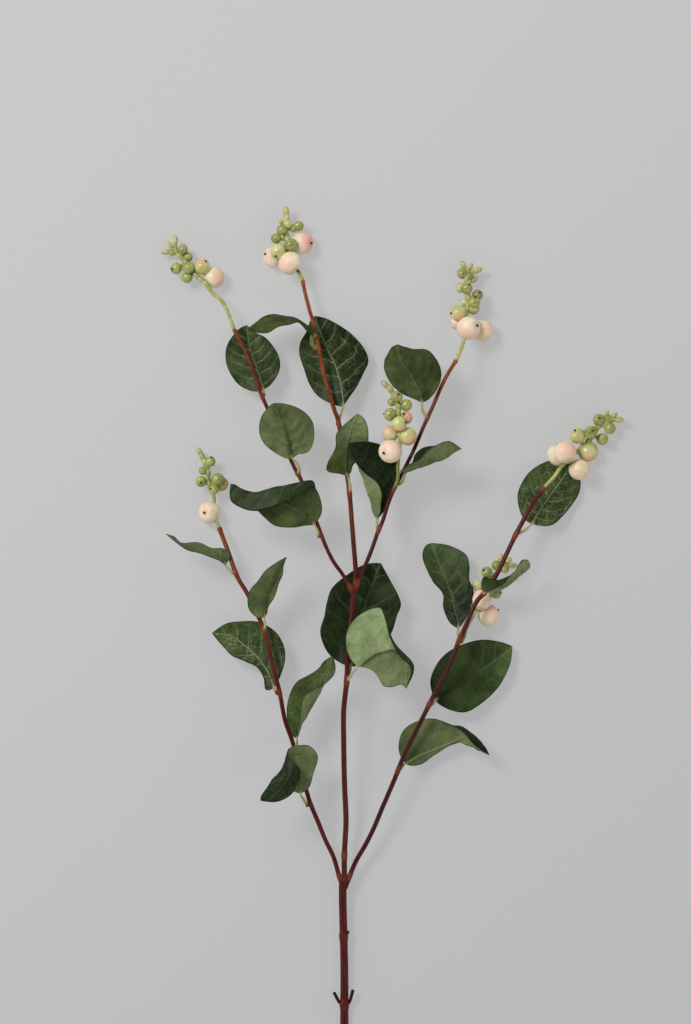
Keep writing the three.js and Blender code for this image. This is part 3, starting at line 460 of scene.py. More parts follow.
# %% Twigs
STEM_RADIUS = 2.6
STEM_REST_HEIGHT = 2.35
FORK_RADIUS = 2.4
TWIGS = {
    "main_stem": {
        "radii": [STEM_RADIUS, STEM_RADIUS, STEM_RADIUS, 2.6, 2.5, 2.4, 2.35, FORK_RADIUS],
        "path": [
            [0.5, 0, STEM_REST_HEIGHT], [0.5, 34.5, STEM_REST_HEIGHT],
            [0.5, 73.5, STEM_REST_HEIGHT],
            [0.5, 110, 3], [0.5, 141, 4.5], [0, 164.5, 6], [-0.5, 187.5, 7.5], [0, 199, 8],
        ],
    },
    "branch_centre": {
        "radii": [1.65, 1.6, 1.55, 1.4, 1.25, 1.1],
        "path": [
            [0.5, 198, 8], [0.5, 211, 9.5], [1, 220.5, 11], [1.5, 234, 13],
            [0.5, 257.5, 17], [0, 292.5, 21.5], [0.5, 303, 23], [2, 316.5, 24],
            [2.5, 331.5, 25], [4, 346, 26], [6, 367, 26], [7.5, 376.5, 26],
            [7, 386.5, 25.5], [6, 398.5, 25], [5, 411, 24], [3, 433, 22],
            [-2.5, 468.5, 18], [-5.5, 478.5, 17.5], [-9, 490, 17], [-12, 501.5, 16.5],
            [-15, 516.5, 16], [-17, 527, 15.5], [-20, 537, 15], [-23, 548.5, 14],
            [-24.5, 556, 13.5],
        ],
    },
    "branch_left": {
        "radii": [1.35, 1.35, 1.3, 1.3, 1.4],
        "path": [
            [0, 191, 7.5], [-2.5, 198, 8], [-6, 210, 9], [-11, 220.5, 10.5], [-15, 230.5, 12],
            [-19, 240, 13.5], [-21.5, 247.5, 14.5], [-30.5, 279, 18], [-35, 292, 19.5],
            [-38.5, 310, 21], [-42.5, 325.5, 21.5], [-47, 344, 21], [-51, 354.5, 20],
            [-57, 367, 18.5], [-64, 379, 16.5], [-68.5, 391.5, 14], [-72.5, 402, 12],
            [-74.5, 407.5, 11],
        ],
    },
    "branch_right": {
        "radii": [1.4, 1.4, 1.4, 1.4, 1.4],
        "path": [
            [1, 191, 7.5], [3.5, 198, 8], [7.5, 207.5, 9], [13.5, 218, 10.5], [18, 227, 12],
            [23, 239, 14], [27.5, 249.5, 15.5], [32.5, 261.5, 17], [36, 270.5, 18],
            [41.5, 282, 19.5], [48, 295, 21], [54.5, 308, 22], [60, 318.5, 22.5],
            [65, 329, 23], [69, 339.5, 23], [73, 348.5, 23], [79.5, 363, 22.5],
            [86, 370.5, 22], [92.5, 381, 21], [97.5, 391.5, 20], [103, 403, 19],
            [108, 412.5, 18], [113.5, 422.5, 16.5], [120.5, 432, 15],
        ],
    },
    "shoot_upper_left": {
        "radii": [1.2, 1.15, 1.1, 1.15],
        "path": [
            [6, 367, 26], [4, 372.5, 27], [-1, 380.5, 28], [-6, 387.5, 28.5],
            [-10.5, 396.5, 28.5], [-15.5, 409.5, 28], [-25, 435.5, 26], [-30, 445, 25],
            [-47.5, 483.5, 20], [-51, 492.5, 19.5], [-54.5, 503, 19], [-58.5, 513, 18.5],
            [-62.5, 521, 18], [-65.5, 526.5, 17.5],
        ],
    },
    "shoot_upper_right": {
        "radii": [1.25, 1.2, 1.15, 1.15],
        "path": [
            [6.5, 367, 26], [8.5, 374, 27], [11, 380.5, 28], [14, 387.5, 29],
            [17, 395, 29.5], [20.5, 405, 30], [23.5, 412, 30], [27, 423, 30],
            [30.5, 431.5, 30], [34.5, 439, 29.5], [39.5, 449, 29], [43, 456.5, 28.5],
            [48, 468.5, 27.5], [53.5, 480.5, 26], [58, 491, 24.5], [62.5, 500, 23],
            [67.5, 508, 21.5],
        ],
    },
}
print("places on each twig:", {name: len(twig["path"]) for name, twig in TWIGS.items()})

# %% Stubs, and lines of points
STUBS = [
    [[0.5, 121, 3.5], [3.5, 122.5, 4], [5.7, 130, 6]],
    [[0.5, 121, 3.5], [-2.5, 122.5, 3.5], [-5.7, 128.5, 4.5]],
    [[0, 162, 6], [2, 163.5, 6.5], [2.7, 165.5, 7]],
]
STUB_RADII = [1, 0.95, 1]


def along(points):
    """The length so far at each point of a line, in millimetres."""
    steps = np.linalg.norm(np.diff(np.asarray(points, float), axis=0), axis=1)
    return np.concatenate([[0], np.cumsum(steps)])


def line_mesh(name, points, radii):
    """A line of points that keep their radius and their length so far."""
    so_far = along(points)
    evenly = np.linspace(0, so_far[-1], len(radii))
    edges = [(place, place + 1) for place in range(len(points) - 1)]
    radius = np.interp(so_far, evenly, radii) * MM
    return points_mesh(name, placed(points), edges, radius=radius, along=so_far)


print("stubs in mm:", [round(along(stub)[-1], 1) for stub in STUBS])

# %% [markdown]
# ## The clusters
# A cluster has a thick green stalk, and berries at four stages stand close along it: buds, small
# green ones, half-ripe ones and ripe cream ones. Each has its middle and its radius, and some have
# marks of their own, because fruit on one stalk ripens unevenly:
# - "calyx" is where the dark calyx shows, the dry remains of the flower, to the right of the
#   berry's middle and up from it. A berry without this mark points away from its stalk.
# - "blush" is the side that the blush lies on, as seen from above, and "blush_depth" its strength.
# - "dull" is how brownish a green berry is.
# - "ripeness" stands for the usual ripeness of its stage, from 0 for green to 1 for cream.

# %% Clusters
REST_SINK = 0.3


def lying(radius):
    """Height of the middle of a berry that lies on the table."""
    return radius - REST_SINK


CLUSTERS = {
    "berries_upper_left": {
        "stalk": [
            [-65.5, 526.5, 17.5], [-68, 533.5, 16.5], [-72.5, 543, 14.5], [-78.5, 548.5, 12.5],
            [-83, 554.5, 10.5], [-88, 559, 9], [-94.5, 567, 7.5], [-98.5, 571.5, 7],
            [-103, 576, 7],
        ],
        "fruit": [
            ("ripe", (-78, 558, lying(6.5)), 6.5, {"blush": (1, 0), "ripeness": 0.86}),
            ("half", (-85, 564.5, 10), 4.8, {"calyx": (2.5, 3.4), "blush": (0, 1)}),
            ("green", (-93, 564, 11), 3.4),
            ("green", (-100.5, 563.5, 8), 3.2, {"calyx": (-2.6, -0.4)}),
            ("green", (-94, 558, 8.5), 3.1),
            ("green", (-93.5, 570.5, 7), 2.7),
            ("green", (-96.5, 575, 9.5), 2.8),
            ("green", (-103, 573, 7), 1.9),
            ("green", (-100, 573.5, 6.5), 2.0),
            ("bud", (-107, 573.5, 6.5), 2.0),
            ("bud", (-104.5, 577.5, 8), 1.9),
            ("bud", (-101, 580.5, 8), 2.0),
        ],
    },
    "berries_upper_middle": {
        "stalk": [
            [-24.5, 556, 13.5], [-27, 561.5, 12.5], [-31, 569.5, 10], [-33.5, 577.5, 9.5],
            [-35, 585, 8.5], [-34, 592.5, 8], [-34.5, 597, 8],
        ],
        "fruit": [
            ("ripe", (-25, 578.5, 6.5), 6.9,
             {"calyx": (5.9, 0.1), "blush": (1, 0.2), "blush_depth": 0.9}),
            ("ripe", (-32, 566.5, 14.5), 7.1, {"calyx": (4.6, -4.7), "blush": (-0.5, -0.3)}),
            ("ripe", (-42, 570.5, lying(6.3)), 6.3, {"calyx": (-5.2, 1.7), "blush": (-0.4, 0.6)}),
            ("half", (-39, 573.5, 13), 4.9, {"calyx": (-1.6, -2.9)}),
            ("green", (-31.5, 577.5, 13.5), 3.7, {"dull": 0}),
            ("green", (-40.5, 581.5, 9), 2.9, {"dull": 0}),
            ("green", (-37, 586.5, 10), 3.0),
            ("half", (-33.5, 590, 10), 2.4, {"blush": (0, 1)}),
            ("green", (-27, 589, 8.5), 2.9, {"dull": 0.2}),
            ("green", (-30, 587.5, 8), 2.2, {"dull": 0.2}),
            ("bud", (-34.5, 598, 8), 2.2),
            ("bud", (-37.5, 591.5, 8.5), 1.7),
        ],
    },
    "berries_upper_right": {
        "stalk": [
            [67.5, 508, 21.5], [69, 511.5, 20.5], [72, 519.5, 17.5], [73.5, 529.5, 13.5],
            [74, 537, 11.5], [75, 544.5, 10], [74, 551.5, 9], [74.5, 559.5, 8.5],
            [74.5, 563.5, 8],
        ],
        "fruit": [
            ("ripe", (75, 527.5, 15.5), 7.1,
             {"calyx": (5.3, 1.5), "blush": (-0.5, -0.8), "blush_depth": 0.35}),
            ("ripe", (83.5, 526, lying(6.7)), 6.7, {"blush": (0.6, 0.2), "blush_depth": 0.2}),
            ("ripe", (68.2, 530.5, 8), 3.6, {"blush": (-1, -1)}),
            ("half", (69, 536.5, 12), 4.9, {"calyx": (-4.7, 0), "blush": (0, -1)}),
            ("half", (78, 539.5, 9), 3.5, {"ripeness": 0.25}),
            ("green", (78.5, 543, 11.5), 3.3, {"calyx": (0.6, 3.1)}),
            ("green", (80.5, 547.5, 8.5), 3.0, {"calyx": (1.3, 1.6), "dull": 0.8}),
            ("green", (74, 551.5, 11), 3.2, {"calyx": (1.5, 2.2), "dull": 0}),
            ("half", (70.5, 552, 8), 2.9),
            ("green", (71.5, 560.5, 8), 3.1, {"dull": 0.2}),
            ("green", (75.5, 559, 8.5), 2.3, {"dull": 0.4}),
            ("half", (73, 543, 8), 2.3),
            ("bud", (72, 565.5, 7.5), 1.9),
            ("bud", (76.2, 564.5, 9), 1.7),
            ("bud", (80.5, 562.5, 8), 2.2),
            ("bud", (78, 557, 7), 2.2),
        ],
    },
    "berries_upper_right_side": {
        "stalk": [
            [30.5, 431.5, 30], [32.5, 437.5, 32], [32.5, 445, 33.5], [33.5, 454.5, 35],
            [34, 463, 36], [33, 472.5, 36], [32.5, 481.5, 35], [29, 489, 34],
            [26, 493, 33.5],
        ],
        "fruit": [
            ("ripe", (28, 453.5, 36.5), 7.0,
             {"calyx": (-4.1, -1.1), "blush": (0.3, 0.6), "blush_depth": 0.25}),
            ("half", (28, 464, 33), 4.9,
             {"blush": (-1, 1), "blush_depth": 0.4, "dull": 0.3, "ripeness": 0.72}),
            ("half", (38.5, 462.5, 35), 5.5, {"blush": (1, -1), "dull": 0.1, "ripeness": 0.5}),
            ("half", (33.5, 470, 39), 4.6,
             {"calyx": (3.9, 0.8), "blush": (1, -1), "ripeness": 0.5}),
            ("half", (37.5, 473.5, 35), 3.5,
             {"calyx": (-1.4, 2.3), "blush": (0.7, 0.3), "blush_depth": 0.9, "dull": 0.8,
              "ripeness": 0.5}),
            ("green", (28, 475.5, 35.5), 4.0, {"calyx": (-4, 0.4), "dull": 0}),
            ("green", (37.5, 481, 35), 3.3, {"dull": 0}),
            ("green", (32, 486, 37), 3.2, {"calyx": (0.8, 1.6)}),
            ("green", (29, 483, 34), 2.4),
            ("bud", (25, 493.5, 33.5), 2.2),
            ("bud", (28.5, 489.5, 34), 1.8),
        ],
    },
    "berries_right": {
        "stalk": [
            [120.5, 432, 15], [126, 438, 14.5], [130.5, 444, 13], [136, 449.5, 10],
            [142, 455, 7.5], [146.5, 458.5, 7.5], [152, 467, 8.5], [157, 471.5, 8.5],
            [163.5, 473, 8],
        ],
        "fruit": [
            ("ripe", (129, 451.4, 8.8), 6.6, {"calyx": (-0.6, 6.2)}),
            ("ripe", (133, 453, 14.5), 6.8, {"blush": (0.3, 0.3)}),
            ("ripe", (141.5, 442.6, 10.5), 6.3,
             {"blush": (-0.6, -1), "blush_depth": 0.2, "ripeness": 0.92}),
            ("half", (147, 453.5, lying(6.2)), 6.2, {"blush": (0, -1), "blush_depth": 0.4}),
            ("half", (140.5, 463, 10), 4.9, {"calyx": (-1.7, 3.2), "dull": 0.1}),
            ("green", (148.5, 465, 11.5), 3.7, {"calyx": (1.1, 1), "dull": 0}),
            ("green", (155.5, 461, 7.5), 3.3, {"dull": 0}),
            ("green", (160, 467.5, 7.5), 3.2, {"dull": 0}),
            ("green", (153.5, 472.5, 9), 3.4, {"calyx": (0.2, 1.2), "dull": 0.3}),
            ("green", (159, 473.5, 8), 2.0, {"dull": 0}),
            ("bud", (158, 476, 9), 1.5),
            ("bud", (162.5, 475, 8.5), 1.7),
            ("bud", (165.5, 472.5, 8), 2.0),
        ],
    },
    "berries_right_side": {
        "stalk": [
            [70.5, 339, 22.5], [72.2, 342.5, 20.8], [73.4, 346.7, 19], [75, 350.1, 17.5],
            [76.9, 353.4, 15.5], [78.6, 356.7, 12.5], [80.2, 359.4, 9], [83, 364, 7.5],
            [86.5, 370, 8], [92, 380, 9.5], [96.5, 388, 9.5],
        ],
        "fruit": [
            ("ripe", (82.6, 364.3, 10.5), 6.4, {"blush": (0.2, 0.6), "blush_depth": 0.3}),
            ("ripe", (87.5, 355, lying(6.7)), 6.7, {"calyx": (5.8, 3.5), "blush": (0, 1)}),
            ("half", (80.5, 373, 9), 3.0, {"ripeness": 0.65}),
            ("green", (86, 381, 11), 3.2, {"calyx": (-2, 1.3), "dull": 0}),
            ("green", (91.5, 368.5, 12), 3.1, {"calyx": (2.8, 0.4), "dull": 0}),
            ("green", (92, 385, 8), 2.8),
            ("green", (97, 383, 9), 2.4),
            ("bud", (99, 388, 8.5), 1.9),
            ("bud", (102, 385, 9), 2.0),
            ("bud", (94.5, 389.5, 9), 2.1),
        ],
    },
    "berries_left": {
        "stalk": [
            [-74.5, 407.5, 11], [-76, 411, 9], [-77.3, 416, 7.5], [-77.8, 421.5, 7],
            [-78, 426.5, 7.5], [-81, 435.5, 8], [-82, 443.5, 7.5], [-84.5, 449.5, 7],
            [-86, 452.5, 6.5],
        ],
        "fruit": [
            ("ripe", (-80.5, 417, lying(6.7)), 6.7,
             {"calyx": (-3.1, -0.2), "blush": (-1, 1), "blush_depth": 0.35, "ripeness": 0.88}),
            ("green", (-75.5, 436.5, 10), 3.8, {"dull": 0}),
            ("green", (-73.3, 434, 7), 3.9, {"blush": (1, -1), "blush_depth": 0.5, "dull": 0.3}),
            ("green", (-77.5, 431, 11), 2.8, {"calyx": (-2.5, 0.1), "dull": 0}),
            ("green", (-85.5, 435.5, 9), 3.1, {"calyx": (-0.1, -0.6), "dull": 0}),
            ("green", (-84.5, 442, 8), 2.3, {"dull": 0}),
            ("green", (-80, 447.5, 8.5), 2.9, {"calyx": (0.8, 2.6), "dull": 0}),
            ("bud", (-83, 446.5, 8), 1.9),
            ("bud", (-86.5, 453.5, 6.5), 1.8),
        ],
    },
}
print("fruit in each cluster:", {name: len(cluster["fruit"]) for name, cluster in CLUSTERS.items()})

# %% [markdown]
# ## The leaves' places
# A leaf has a petiole, from the middle of its twig to its blade. The blade is rows of places from
# its base to its tip. Each row runs from the left margin over the rib to the right margin, as the
# upper face shows them, and a folded leaf has one more place on each side of its rib.

# %% Leaves
LEAVES = {
    "leaf_left_1": {
        "petiole": [[-21.5, 241, 13.5], [-24, 245, 18], [-26, 248.5, 22]],
        "rows": [
            [-26, 248.5, 24],
            [-21, 251.5, 25,  -25.5, 253.5, 25,  -31, 250.5, 24.5],
            [-18, 260.5, 26.5,  -26, 260.5, 26,  -34, 255, 25],
            [-15.5, 271.5, 28,  -28, 266.5, 27,  -36.5, 259.5, 26],
            [-20.9, 277.4, 29.5,  -31.5, 269.5, 28.5,  -37, 261, 27.5],
            [-32, 275.8, 32,  -35.3, 268, 32,  -37.5, 261.5, 31],
            [-32, 269, 36,  -35, 265, 36,  -39.5, 260.5, 34.5],
            [-26, 263.5, 38.5,  -34, 260, 38,  -42.5, 257.5, 37],
            [-27.5, 255, 39,  -37, 253.5, 38.5,  -45.5, 253, 38],
            [-31.5, 248, 38.5,  -41, 249.5, 37.5,  -48, 249.5, 37],
            [-39.5, 244, 37.5,  -44.5, 246, 37,  -49.5, 247, 36.5],
            [-49.5, 244.5, 36],
        ],
    },
    "leaf_left_2": {
        "petiole": [[-29.5, 274.5, 18], [-28, 277.5, 20], [-28, 281.5, 22]],
        "rows": [
            [-28, 281.5, 22.5],
            [-31, 283.5, 23,  -29.5, 285, 23,  -27, 285.5, 23.5,  -27, 286, 25.5,
             -27.5, 286.5, 27],
            [-33.5, 291, 23.5,  -30, 292, 23.5,  -25, 290.5, 24.5,  -25, 291, 27.5,
             -26.5, 292, 30],
            [-34, 299.5, 24,  -29.5, 299, 24,  -21, 297.5, 25.5,  -21.5, 298, 29,  -25.5, 300, 32],
            [-32, 308.5, 25,  -26.5, 306, 25,  -17, 304.5, 26.5,  -18, 305.5, 30,  -23.5, 307, 33],
            [-28, 315.5, 26,  -22, 312, 26,  -13.5, 311, 27.5,  -14, 311.5, 30.5,  -18, 311, 32.5],
            [-21, 319.5, 27,  -16, 317, 27,  -10.5, 317.5, 28.5,  -9.5, 316.5, 30,
             -9.5, 315.5, 31],
            [-15, 323.5, 27.5,  -12, 322.5, 28,  -8.5, 324, 29,  -6.5, 322.5, 29,  -5, 321.5, 29.5],
            [-11.5, 328, 28,  -10, 328, 28,  -7.5, 328, 28.5,  -6.5, 328, 28.5,  -5.5, 328, 29],
            [-7, 331, 28],
        ],
    },
    "leaf_left_3": {
        "petiole": [[-39.5, 308.5, 21], [-41, 310, 19], [-41.5, 311.5, 17.5]],
        "rows": [
            [-41.5, 311.5, 17],
            [-46.5, 310.5, 16,  -43.5, 316.5, 15.5,  -38.5, 317, 16.5],
            [-48, 317.5, 14.5,  -46, 322, 13.5,  -35.5, 326, 15],
            [-52, 324, 13,  -50, 328, 12,  -35.5, 335.5, 14],
            [-59, 327.5, 12,  -54.5, 333, 10.5,  -40, 344.5, 13],
            [-66.5, 330.5, 11,  -60.5, 338, 9.5,  -50.5, 351, 11.5],
            [-71.5, 335.5, 9.5,  -67, 342.5, 8.5,  -62.5, 351.5, 10],
            [-76, 340.5, 8,  -73.5, 344, 8,  -71, 350, 9],
            [-79, 344.5, 7.5],
        ],
    },
    "leaf_left_4": {
        "petiole": [[-48, 346, 21], [-47, 349, 22], [-47.5, 354, 23.5]],
        "rows": [
            [-47.5, 354, 23.5],
            [-46, 356.5, 23.5,  -47, 357, 24.5,  -51.5, 354, 24],
            [-44.6, 361.5, 25.5,  -46.3, 361.5, 23.5,  -56.5, 358.5, 24],
            [-42.3, 365.5, 27,  -45.5, 366, 24,  -57.5, 365, 25],
            [-40, 369.5, 28,  -44, 370.5, 25.5,  -56, 370.5, 26.5],
            [-38.3, 375, 29.5,  -41.8, 374.8, 27.5,  -51.5, 375.5, 28.5],
            [-36.5, 380, 31,  -39.8, 379.5, 29.5,  -47, 382, 30],
            [-35.4, 385.5, 32,  -37.1, 385, 31,  -41, 386.5, 31],
            [-34, 390.5, 32.5],
        ],
    },
    "leaf_left_5": {
        "petiole": [[-65, 380.5, 16], [-67.5, 381.5, 17], [-71, 385.5, 17]],
        "rows": [
            [-71, 385.5, 17],
            [-67.5, 391, 17.5,  -71.5, 388, 19,  -72.5, 386.5, 18.5],
            [-71.5, 394.5, 17,  -75, 390.5, 21.5,  -75.5, 388.5, 22],
            [-79, 396, 16,  -80.5, 393.5, 23.5,  -82, 391, 25],
            [-86, 398.5, 15.5,  -86.5, 395, 24,  -87.5, 392.5, 26],
            [-92.5, 398.5, 16,  -92.5, 396, 24,  -92.5, 394.5, 26],
            [-97.5, 399, 18,  -97.5, 398, 23.5,  -98, 397, 25],
            [-101.5, 402, 20,  -102, 401.5, 22.5,  -102.5, 400.5, 23],
            [-106.5, 404, 20.5],
        ],
    },
    "leaf_centre_1": {
        "petiole": [[2, 317, 24], [3.5, 320.5, 22], [4.5, 324.5, 20]],
        "rows": [
            [4.5, 324.5, 20],
            [-1.5, 326.5, 19,  6, 332.5, 18.5,  13.5, 326.5, 17.5],
            [-9.5, 333, 18,  7.5, 340.5, 16.5,  22.5, 335.5, 15.5],
            [-14, 345, 17.5,  9.5, 348.5, 15,  29, 345, 14],
            [-11.5, 355, 16,  11.5, 356, 14,  32, 354.5, 13.5],
            [-10, 363, 15,  13.5, 363, 13.5,  34.5, 361.5, 13.5],
            [-7, 371.5, 14,  16, 369.5, 13,  32.5, 368, 13],
            [1.5, 379, 13,  18.5, 376.5, 12.5,  29, 374.5, 12.5],
            [13.5, 386, 12,  20.5, 383.5, 12,  25.5, 381, 12],
            [22.5, 386.5, 11.5],
        ],
    },
    "leaf_centre_2": {
        "petiole": [[2, 315.5, 24], [4.5, 319.5, 27], [8.5, 324.5, 29.5]],
        "rows": [
            [8.5, 324.5, 29.5],
            [13.5, 324, 30,  12, 325, 30,  11, 326.5, 30,  8.5, 327, 30,  5, 328, 30],
            [18, 321.5, 30,  16.5, 326.5, 31,  15.5, 330, 31.5,  8.5, 334.5, 31,  1.5, 337.5, 30.5],
            [21, 318, 30.5,  20.5, 326.5, 32,  19.5, 332.5, 33,  11.5, 341, 32,  3, 348, 31],
            [24, 313.5, 31,  24.5, 325.5, 33,  24, 334, 34.5,  17.5, 345.5, 33.5,  11.5, 357, 32],
            [27.3, 312.5, 32,  28.4, 325.8, 34,  28, 335, 36,  24.7, 347.5, 35,  22.3, 359.6, 33.5],
            [28.3, 312.4, 32,  29.8, 325.4, 34,  29.8, 335, 36,  26.7, 346.3, 35.5,
             23.9, 355.8, 34.5],
            [31, 313, 32,  32.5, 324, 34,  33, 334, 35,  30.8, 338, 37,  28.3, 341, 37.5],
            [34, 314, 32,  36, 322.5, 33.5,  37.5, 331.5, 34.5,  36, 330.5, 36.5,  34, 331, 37.5],
            [35.5, 313.5, 32.5,  38.5, 319.5, 33,  41.8, 326, 34,  41, 325, 36,  39.5, 325, 36.5],
            [37.5, 311.5, 32],
        ],
    },
    "leaf_upper_left_1": {
        "petiole": [[-14.5, 402, 28.5], [-15.5, 406, 30], [-17.5, 409.5, 30.5]],
        "rows": [
            [-17.5, 409.5, 30.5],
            [-13, 417, 31,  -17.5, 415, 31,  -21, 413, 31,  -20.5, 411.5, 31,  -22.5, 409, 30.5],
            [-15, 428.5, 34,  -19, 424.5, 33,  -24.5, 416, 32,  -26, 412, 31.5,  -28.5, 408, 31],
            [-20.3, 432.2, 38,  -18.8, 435, 36,  -29, 419.5, 33,  -32, 413.5, 32,  -35.5, 408, 31],
            [-28, 426.5, 40.5,  -31.5, 434, 36.5,  -34.5, 422.5, 33,  -37.5, 416, 32,
             -42, 409.5, 31],
            [-38.5, 421.5, 41,  -41, 432, 37,  -43, 424, 33,  -45, 419, 32,  -48, 414.5, 31.5],
            [-50, 418, 40,  -51.5, 429, 37,  -51.5, 424.5, 33.5,  -52, 422.5, 32.5,
             -53.5, 420, 32],
            [-59.5, 419, 38,  -59.5, 430.5, 36.5,  -59, 425.5, 34,  -59, 424.5, 33.5,
             -59, 423, 33],
            [-67.3, 424, 36,  -64.3, 433.2, 35.5,  -64.5, 427.5, 34.5,  -64.5, 427, 34.5,
             -64.5, 427, 34],
            [-67.5, 433.8, 35],
        ],
    },
    "leaf_upper_left_2": {
        "petiole": [[-27.5, 439, 25.5], [-26.5, 442, 27], [-28, 446.5, 27.5], [-30.5, 449, 28]],
        "rows": [
            [-30.5, 449, 28],
            [-27.5, 451.5, 28,  -31.5, 452.5, 28.5,  -35, 449.5, 28.5],
            [-21.5, 453, 28.5,  -32.5, 457.5, 29,  -43, 454, 29.5],
            [-18.5, 457.5, 28.5,  -34, 463, 29.5,  -48.5, 459.5, 30],
            [-17.5, 465, 28,  -35.5, 467.5, 29,  -50.5, 466, 30],
            [-19, 472.5, 27,  -37, 471.5, 28,  -49.5, 473.5, 28.5],
            [-24.5, 478, 26,  -38.5, 475.5, 27,  -46, 479, 27],
            [-34.5, 482, 25.5,  -39.5, 479.5, 26,  -42.5, 482, 26],
            [-40, 482.5, 25.5],
        ],
    },
    "leaf_upper_left_3": {
        "petiole": [[-48.5, 486.5, 20], [-47.5, 488, 18], [-48, 490.5, 16]],
        "rows": [
            [-48, 490.5, 15.5],
            [-53, 489.5, 14,  -49, 494, 14,  -44.5, 493, 14],
            [-62, 493, 11.5,  -50.5, 499, 11.5,  -40, 498.5, 12],
            [-67.5, 499.5, 10.5,  -52.5, 505, 10,  -38, 505, 10.5],
            [-70.5, 507, 9.5,  -54.5, 510.5, 8.5,  -39, 511, 9],
            [-70.5, 515.5, 8,  -56.5, 516.5, 7,  -42.5, 517, 8],
            [-67, 522.5, 6.5,  -57.5, 523, 6,  -47.5, 522.5, 7],
            [-62.5, 527.5, 5.5,  -58, 527, 5,  -53.5, 525.5, 6],
            [-58, 529.5, 5],
        ],
    },
    "leaf_upper_middle_1": {
        "petiole": [[3.5, 428, 22.5], [4, 433, 24], [2.5, 438.5, 25]],
        "rows": [
            [2.5, 438.5, 25],
            [4.5, 441, 25,  2, 441, 25.5,  -2, 440, 25.5],
            [6, 445.5, 25,  1.5, 446, 25.5,  -9.5, 441.5, 27],
            [10.5, 449.5, 25,  2, 451.5, 25.5,  -9.5, 446.5, 27.5],
            [14.5, 455, 25,  2.5, 457.5, 25.5,  -5, 455.5, 26.5],
            [15, 461.5, 25.5,  4, 464, 25.5,  -4.5, 463, 26.5],
            [14.5, 468, 26.5,  5.5, 469, 26,  -2, 467.5, 27],
            [12, 473.5, 27.5,  7.5, 473.5, 27,  4, 472.5, 27.5],
            [8.5, 476, 28],
        ],
    },
    "leaf_upper_middle_2": {
        "petiole": [[-3.5, 469.5, 18], [-2.5, 473, 16.5], [-1, 478, 15], [0, 480.5, 14]],
        "rows": [
            [0, 480.5, 14],
            [-5.5, 481.5, 12.5,  -0.5, 485.5, 13,  3.5, 486, 12.5],
            [-15, 486.5, 10,  -1.5, 492.5, 11,  8, 492.5, 10.5],
            [-20.5, 494, 8.5,  -3.5, 500.5, 9.5,  12, 500.5, 9],
            [-23.5, 502.5, 7.5,  -6, 508, 8.5,  15, 508, 8],
            [-26.5, 512, 7,  -9.5, 514.5, 8,  12, 516, 8],
            [-26, 519, 7,  -12, 521, 7.5,  5, 524, 8.5],
            [-22, 526, 7,  -15, 528, 7.5,  -4.5, 530.5, 8.5],
            [-20, 532, 7.5,  -16.5, 532.5, 7.5,  -12, 534, 8],
            [-17.5, 535, 7.5],
        ],
    },
    "leaf_upper_middle_3": {
        "petiole": [[-16, 515.8, 14.8], [-18, 517, 15.2], [-18.8, 519.5, 16], [-18.9, 523.3, 17],
                    [-17, 522, 18.5]],
        "rows": [
            [-17, 522, 18.5],
            [-14.5, 526, 18,  -18, 525, 19.5,  -19, 523, 20],
            [-20.5, 529, 18,  -22, 528, 22.5,  -22.5, 526, 24],
            [-28, 533, 18.5,  -27.5, 531.5, 26,  -27.5, 531, 29],
            [-34, 534.5, 19,  -34, 532, 28,  -33.5, 529.5, 31],
            [-40.5, 536, 20,  -41, 532, 29,  -39.5, 527.5, 32],
            [-47, 534.5, 20.5,  -47.5, 529.5, 28,  -45.5, 524.5, 31],
            [-52, 531.5, 22,  -53, 527.5, 26,  -51.5, 524.5, 27],
            [-57, 527, 23],
        ],
    },
    "leaf_upper_right_1": {
        "petiole": [[21, 406.5, 30], [20, 410, 28.5], [20.5, 413, 26]],
        "rows": [
            [20.5, 413, 25],
            [22, 416.5, 27.5,  20, 416.5, 27,  18.5, 416.5, 25.5,  21, 417, 24.5,  24.5, 418, 24],
            [22.5, 422.5, 29,  19.5, 423, 28.5,  17, 423, 26,  21.5, 424.5, 24.5,  28, 425, 23.5],
            [23, 428.5, 30.5,  18, 429.5, 30,  14.5, 429.5, 27,  20.5, 431, 25,  31, 431.5, 23.5],
            [20, 435, 31.5,  15.5, 436, 31,  12.5, 436, 28.5,  19.5, 438, 25.5,  32.5, 439.5, 24],
            [12.5, 440.5, 32,  11, 441.5, 31.5,  10.5, 442, 29.5,  19, 445, 27,  32.5, 446.5, 25],
            [7, 447.5, 31.5,  7.5, 448, 31,  8.5, 448, 30,  16.5, 451.5, 28,  28, 454.5, 26.5],
            [4, 452, 30.5,  5, 453, 31,  6.5, 453.5, 30.5,  11, 456, 30,  17, 459, 28.5],
            [3, 458.5, 30.5],
        ],
    },
    "leaf_upper_right_2": {
        "petiole": [[33, 434.5, 29.5], [34.8, 435.3, 31], [36.2, 438.5, 32.3], [37.5, 441, 33]],
        "rows": [
            [37.5, 441, 33],
            [40.5, 445, 32.5,  38.5, 441.5, 34,  34, 441.5, 36],
            [41.5, 448, 31,  42, 443, 35,  38.5, 445, 38],
            [43, 451.5, 30,  47, 444.5, 36,  44.5, 448, 40],
            [48, 456, 29.5,  54, 447.5, 36.5,  49.5, 453, 41],
            [54.5, 456.5, 30,  60.5, 449.5, 36.5,  56, 457.5, 40],
            [62.5, 457, 32,  66.5, 453.5, 36,  63.5, 459.5, 38.5],
            [70.5, 455, 36],
        ],
    },
    "leaf_upper_right_3": {
        "petiole": [[51, 473, 27], [47.5, 477.5, 28], [47, 482.5, 28]],
        "rows": [
            [47, 482.5, 28],
            [50, 484, 28,  46.5, 486, 28.5,  43, 484.5, 28.5],
            [54.5, 488.5, 28,  44.5, 491, 29.5,  35, 488, 29.5],
